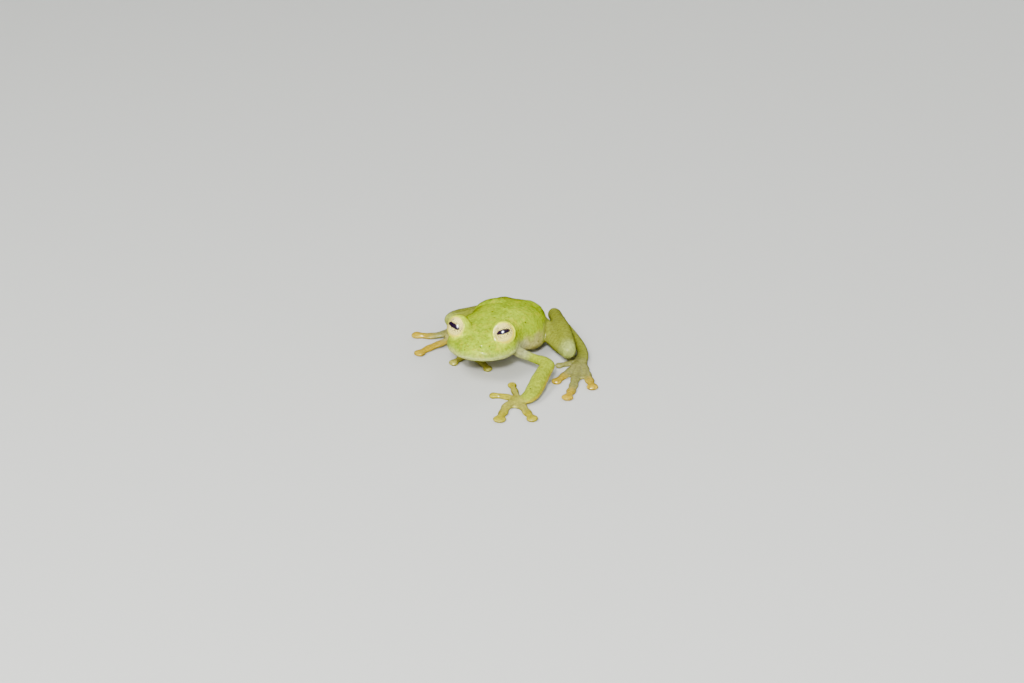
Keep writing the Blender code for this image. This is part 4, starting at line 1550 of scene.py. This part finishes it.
@dataclass(frozen=True)
class WetEye:
    """A frog's eye: cream iris with a dark net, level pupil and a clear wet cornea."""

    iris: str = "#FFF28C"
    iris_warm: str = "#FAE04C"
    warm_share: float = 0.55
    net: str = "#4A4030"
    pupil: str = "#180820"
    rim: str = "#FCE818"
    # Soft bends of the iris's net and of the pupil's ragged edge.
    bend_mm: float = 0.25
    bend_detail: float = 3.0
    bend_push_mm: float = 0.1
    raggedness: float = 0.9
    # The net of dark vessels; it is darkest round the pupil, whose reach is 1 on its outline.
    cells: Pattern = Pattern("TexVoronoi", 0.17, 0.15, 0.02, most=0.75)
    halo_reach: Fade = (12.0, 1.0)
    halo_share: tuple[float, float] = (0.3, 1.6)
    # The pupil's half sizes in mm, how blunt it is along each, and its soft edge.
    pupil_half: tuple[float, float] = (0.87, 0.29)
    pupil_blunt: tuple[float, float] = (3.0, 2.2)
    pupil_edge: Fade = (1.6, 1.3)
    # The yellow rim starts at this height of the eyeball, in mm.
    rim_height: Fade = (0.92, 0.68)
    # Cornea, about 1.376, under a tear film as smooth as glass.
    ior: float = 1.376
    roughness: float = 0.3
    shine_level: float = 0.05
    film: float = 1.0
    film_roughness: float = 0.03

    def pupil_reach(self, tree: Tree, parts: bpy.types.Node) -> bpy.types.Node:
        """Measure from the pupil's middle, with 1 on its outline.

        Args:
            tree: the material's node tree.
            parts: the node that gives X and Y in the eyeball's own frame.

        Returns:
            The node that gives the reach.
        """
        blunt = []
        for axis, half, power in zip("XY", self.pupil_half, self.pupil_blunt):
            share = add_node(tree, "Math", {0: parts.outputs[axis], 1: half * MM}, operation="DIVIDE")
            size = add_node(tree, "Math", {0: share}, operation="ABSOLUTE")
            blunt.append(add_node(tree, "Math", {0: size, 1: power}, operation="POWER"))
        return add_node(tree, "Math", {0: blunt[0], 1: blunt[1]}, operation="ADD")

    def material(self) -> bpy.types.Material:
        """Return the eye's material, drawn in the eyeball's own frame in metres.

        Returns:
            The material.
        """
        material, tree = blank_material("wet_frog_eye")
        place = add_node(tree, "Attribute", attribute_name=EYE_PLACE).outputs["Vector"]
        bend = add_node(tree, "TexNoise", {"Vector": place, "Scale": per_metre(self.bend_mm),
                                           "Detail": self.bend_detail})
        bent = add_node(tree, "VectorMath", {
            0: bend.outputs["Color"], 1: (self.bend_push_mm * MM,) * 3, 2: place}, operation="MULTIPLY_ADD")
        parts = add_node(tree, "SeparateXYZ", {"Vector": place})
        reach = self.pupil_reach(tree, parts)
        ragged = add_node(tree, "Math", {0: bend, 1: self.raggedness, 2: reach}, operation="MULTIPLY_ADD")
        pupil = add_node(tree, "MapRange", {
            "Value": ragged, "From Min": self.pupil_edge[0], "From Max": self.pupil_edge[1]},
            interpolation_type="SMOOTHSTEP")
        halo = add_node(tree, "MapRange", {
            "Value": reach, "From Min": self.halo_reach[0], "From Max": self.halo_reach[1],
            "To Min": self.halo_share[0], "To Max": self.halo_share[1]})
        cells = self.cells.share(tree, bent, feature="DISTANCE_TO_EDGE")
        net = add_node(tree, "Math", {0: cells, 1: halo}, operation="MULTIPLY", use_clamp=True)
        rim = add_node(tree, "MapRange", {
            "Value": parts.outputs["Z"], "From Min": self.rim_height[0] * MM,
            "From Max": self.rim_height[1] * MM})
        warm = layered(tree, linear(self.iris), [(bend, linear(self.iris_warm))])
        colour = layered(tree, linear(self.iris), [
            (self.warm_share, warm), (net, linear(self.net)), (rim, linear(self.rim)),
            (pupil, linear(self.pupil))])
        shader = add_node(tree, "BsdfPrincipled", {
            "Base Color": colour, "Roughness": self.roughness, "IOR": self.ior,
            "Specular IOR Level": self.shine_level, "Coat Weight": self.film,
            "Coat Roughness": self.film_roughness, "Coat IOR": self.ior})
        add_node(tree, "OutputMaterial", {"Surface": shader})
        return material


@dataclass(frozen=True)
class StudioBoard:
    """Pale uncoated card under the frog: its open fibres leave it matt."""

    tone: str = "#BEBFBA"
    roughness: float = 0.85
    ior: float = 1.45

    def material(self) -> bpy.types.Material:
        """Return the card's material.

        Returns:
            The material.
        """
        material, tree = blank_material("matt_card")
        shader = add_node(tree, "BsdfPrincipled", {
            "Base Color": linear(self.tone), "Roughness": self.roughness, "IOR": self.ior})
        add_node(tree, "OutputMaterial", {"Surface": shader})
        return material


# Eyes and studio.


@dataclass
class Eyeball:
    """One eyeball, drawn with +Z to its gaze and X along its pupil."""

    head: Head
    side: Side
    radius: float = 1.42
    # The cornea's swell, and the turns from the gaze between which it rises.
    cornea: float = 0.03
    cornea_edge: Fade = (1.0, 0.3)
    outward: float = math.radians(16.2)
    upward: float = math.radians(31.6)
    roll: float = math.radians(16.0)
    rings: int = 64
    sides: int = 96
    piece: Piece = field(init=False)

    def ball(self) -> Shape:
        """Return the eyeball's closed form.

        Returns:
            Points and faces, in its own frame.
        """
        rings = []
        for turn in np.linspace(math.pi, 0.0, self.rings + 1)[1:-1]:
            swell = self.radius + self.cornea * smoothstep(*self.cornea_edge, np.array(turn))
            rings.append([(swell * math.sin(turn) * math.cos(a), swell * math.sin(turn) * math.sin(a),
                           swell * math.cos(turn)) for a in turns(self.sides)])
        return loft(rings, (0.0, 0.0, -self.radius), (0.0, 0.0, self.radius + self.cornea))

    def build(self, placement: Placement) -> None:
        """Make the eyeball in the row frame, with each point's own place kept for its finish.

        Args:
            placement: the shift to the row frame.
        """
        self.piece = mesh_piece(f"eyeball_{self.side.name.lower()}", [self.ball()])
        mesh = self.piece.data
        own = mesh.attributes.new(EYE_PLACE, "FLOAT_VECTOR", "POINT")
        own.data.foreach_set("vector", np.array([v.co for v in mesh.vertices], np.float32).ravel() * MM)
        mesh.shade_smooth()
        gaze = self.head.aim(self.outward, self.upward, self.side)
        level = unit(np.cross(UP, gaze))
        steep = np.cross(gaze, level)
        turn = self.roll * self.side.value
        across = level * math.cos(turn) + steep * math.sin(turn)
        rotation = Matrix([across, np.cross(gaze, across), gaze]).transposed()
        mesh.transform(Matrix.Translation(placement.point(self.head.eye_centre(self.side)))
                       @ rotation.to_4x4() @ Matrix.Scale(MM, 4))

    def dress(self, finish: bpy.types.Material) -> None:
        """Args:
            finish: the wet eye's material.
        """
        piece = self.piece
        piece.data.materials.append(finish)
        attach(piece, BODY)
        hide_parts(f"eye_{self.side.name.lower()}")
        LOG.info("%s: %d faces", piece.name, len(piece.data.polygons))


@dataclass(frozen=True)
class Softbox:
    """A square soft light: place and side in metres, power in watts.

    One with gloss is seen only where wet surfaces mirror it; one without leaves no glare.
    """

    name: str
    place: Point
    size: float
    watts: float
    gloss: bool = False

    def hang(self, target: Point) -> None:
        """Hang the light so that it faces a target.

        Args:
            target: the place that it faces, in metres.
        """
        light = bpy.data.lights.new(self.name, "AREA")
        light.size = self.size
        light.energy = self.watts
        lamp = bpy.data.objects.new(self.name, light)
        lamp.visible_glossy, lamp.visible_diffuse = self.gloss, not self.gloss
        lamp.location = self.place
        lamp.rotation_euler = (Vector(self.place) - Vector(target)).to_track_quat("Z", "Y").to_euler()
        bpy.context.scene.collection.objects.link(lamp)


@dataclass
class Studio:
    """Floor, soft lights and the camera at the photograph's angle."""

    azimuth: float = math.radians(20.0)
    elevation: float = math.radians(26.0)
    camera_at: Point = (113.50, -296.13, 160.96)
    lens: float = 100.0
    sensor: float = 36.0
    # Nearest and furthest distance that the camera sees, and the floor's radius, in metres.
    sight: tuple[float, float] = (0.01, 10.0)
    floor_radius: float = 1.6
    floor_sides: int = 96
    frog_middle: Point = (0.0, 0.0, 0.003)
    softboxes: tuple[Softbox, ...] = (
        Softbox("key_light", (-0.12, -0.22, 0.34), 0.16, 1.9),
        Softbox("front_light", (0.09, -0.34, 0.26), 0.05, 2.7),
        Softbox("fill_light", (0.32, -0.10, 0.22), 0.25, 0.65),
        Softbox("back_light", (0.05, 0.34, 0.25), 0.2, 0.65),
        Softbox("glint_light", (0.09, -0.34, 0.24), 0.03, 22.0, gloss=True))
    surround: str = "#E8EBEC"
    surround_strength: float = 0.42

    def camera(self, placement: Placement) -> None:
        """Place the camera.

        Args:
            placement: the shift to the row frame.
        """
        lens = bpy.data.cameras.new("camera")
        lens.lens = self.lens
        lens.sensor_width = self.sensor
        lens.clip_start, lens.clip_end = self.sight
        camera = bpy.data.objects.new("camera", lens)
        bpy.context.scene.collection.objects.link(camera)
        back = Vector((math.sin(self.azimuth) * math.cos(self.elevation),
                       -math.cos(self.azimuth) * math.cos(self.elevation), math.sin(self.elevation)))
        camera.location = placement.point(np.array(self.camera_at))
        camera.rotation_euler = back.to_track_quat("Z", "Y").to_euler()
        bpy.context.scene.camera = camera

    def floor(self) -> None:
        """Lay a wide pale floor."""
        bm = bmesh.new()
        bmesh.ops.create_circle(bm, cap_ends=True, segments=self.floor_sides, radius=self.floor_radius)
        mesh = bpy.data.meshes.new("floor")
        bm.to_mesh(mesh)
        bm.free()
        piece = bpy.data.objects.new("floor", mesh)
        bpy.context.scene.collection.objects.link(piece)
        mesh.materials.append(StudioBoard().material())
        # The card leaves no milky glare on the wet skin.
        piece.visible_glossy = False

    def lights(self) -> None:
        """Hang the soft lights and the pale surround."""
        for softbox in self.softboxes:
            softbox.hang(self.frog_middle)
        world = bpy.data.worlds.new("pale_surround")
        world.use_nodes = True
        background = world.node_tree.nodes["Background"]
        background.inputs["Color"].default_value = linear(self.surround)
        background.inputs["Strength"].default_value = self.surround_strength
        bpy.context.scene.world = world
        # The surround lights the frog but leaves no milky glare on its wet skin.
        world.cycles_visibility.glossy = False

    def build(self, placement: Placement) -> None:
        """Set up the whole studio.

        Args:
            placement: the shift to the row frame.
        """
        self.floor()
        self.lights()
        self.camera(placement)


def main() -> None:
    """Build each piece in turn, dress it and report it."""
    logging.basicConfig(level=logging.INFO, format="%(name)s: %(message)s")
    head = Head()
    placement = Placement.from_frame(head)
    LOG.info("maker's frame shifted by %s mm", np.round(placement.shift, 3))
    eyes = [Eyeball(head, side) for side in Side]
    left_arm = next(limb for limb in LIMBS if limb.name == "arm_left")
    skin = FrogSkin(head, Trunk(), UlnarFold(left_arm), eyes[0].radius)
    skin.build()
    skin.dress(placement)
    wet_eye = WetEye().material()
    for eye in eyes:
        eye.build(placement)
        eye.dress(wet_eye)
    Studio().build(placement)


if __name__ == "__main__":
    main()
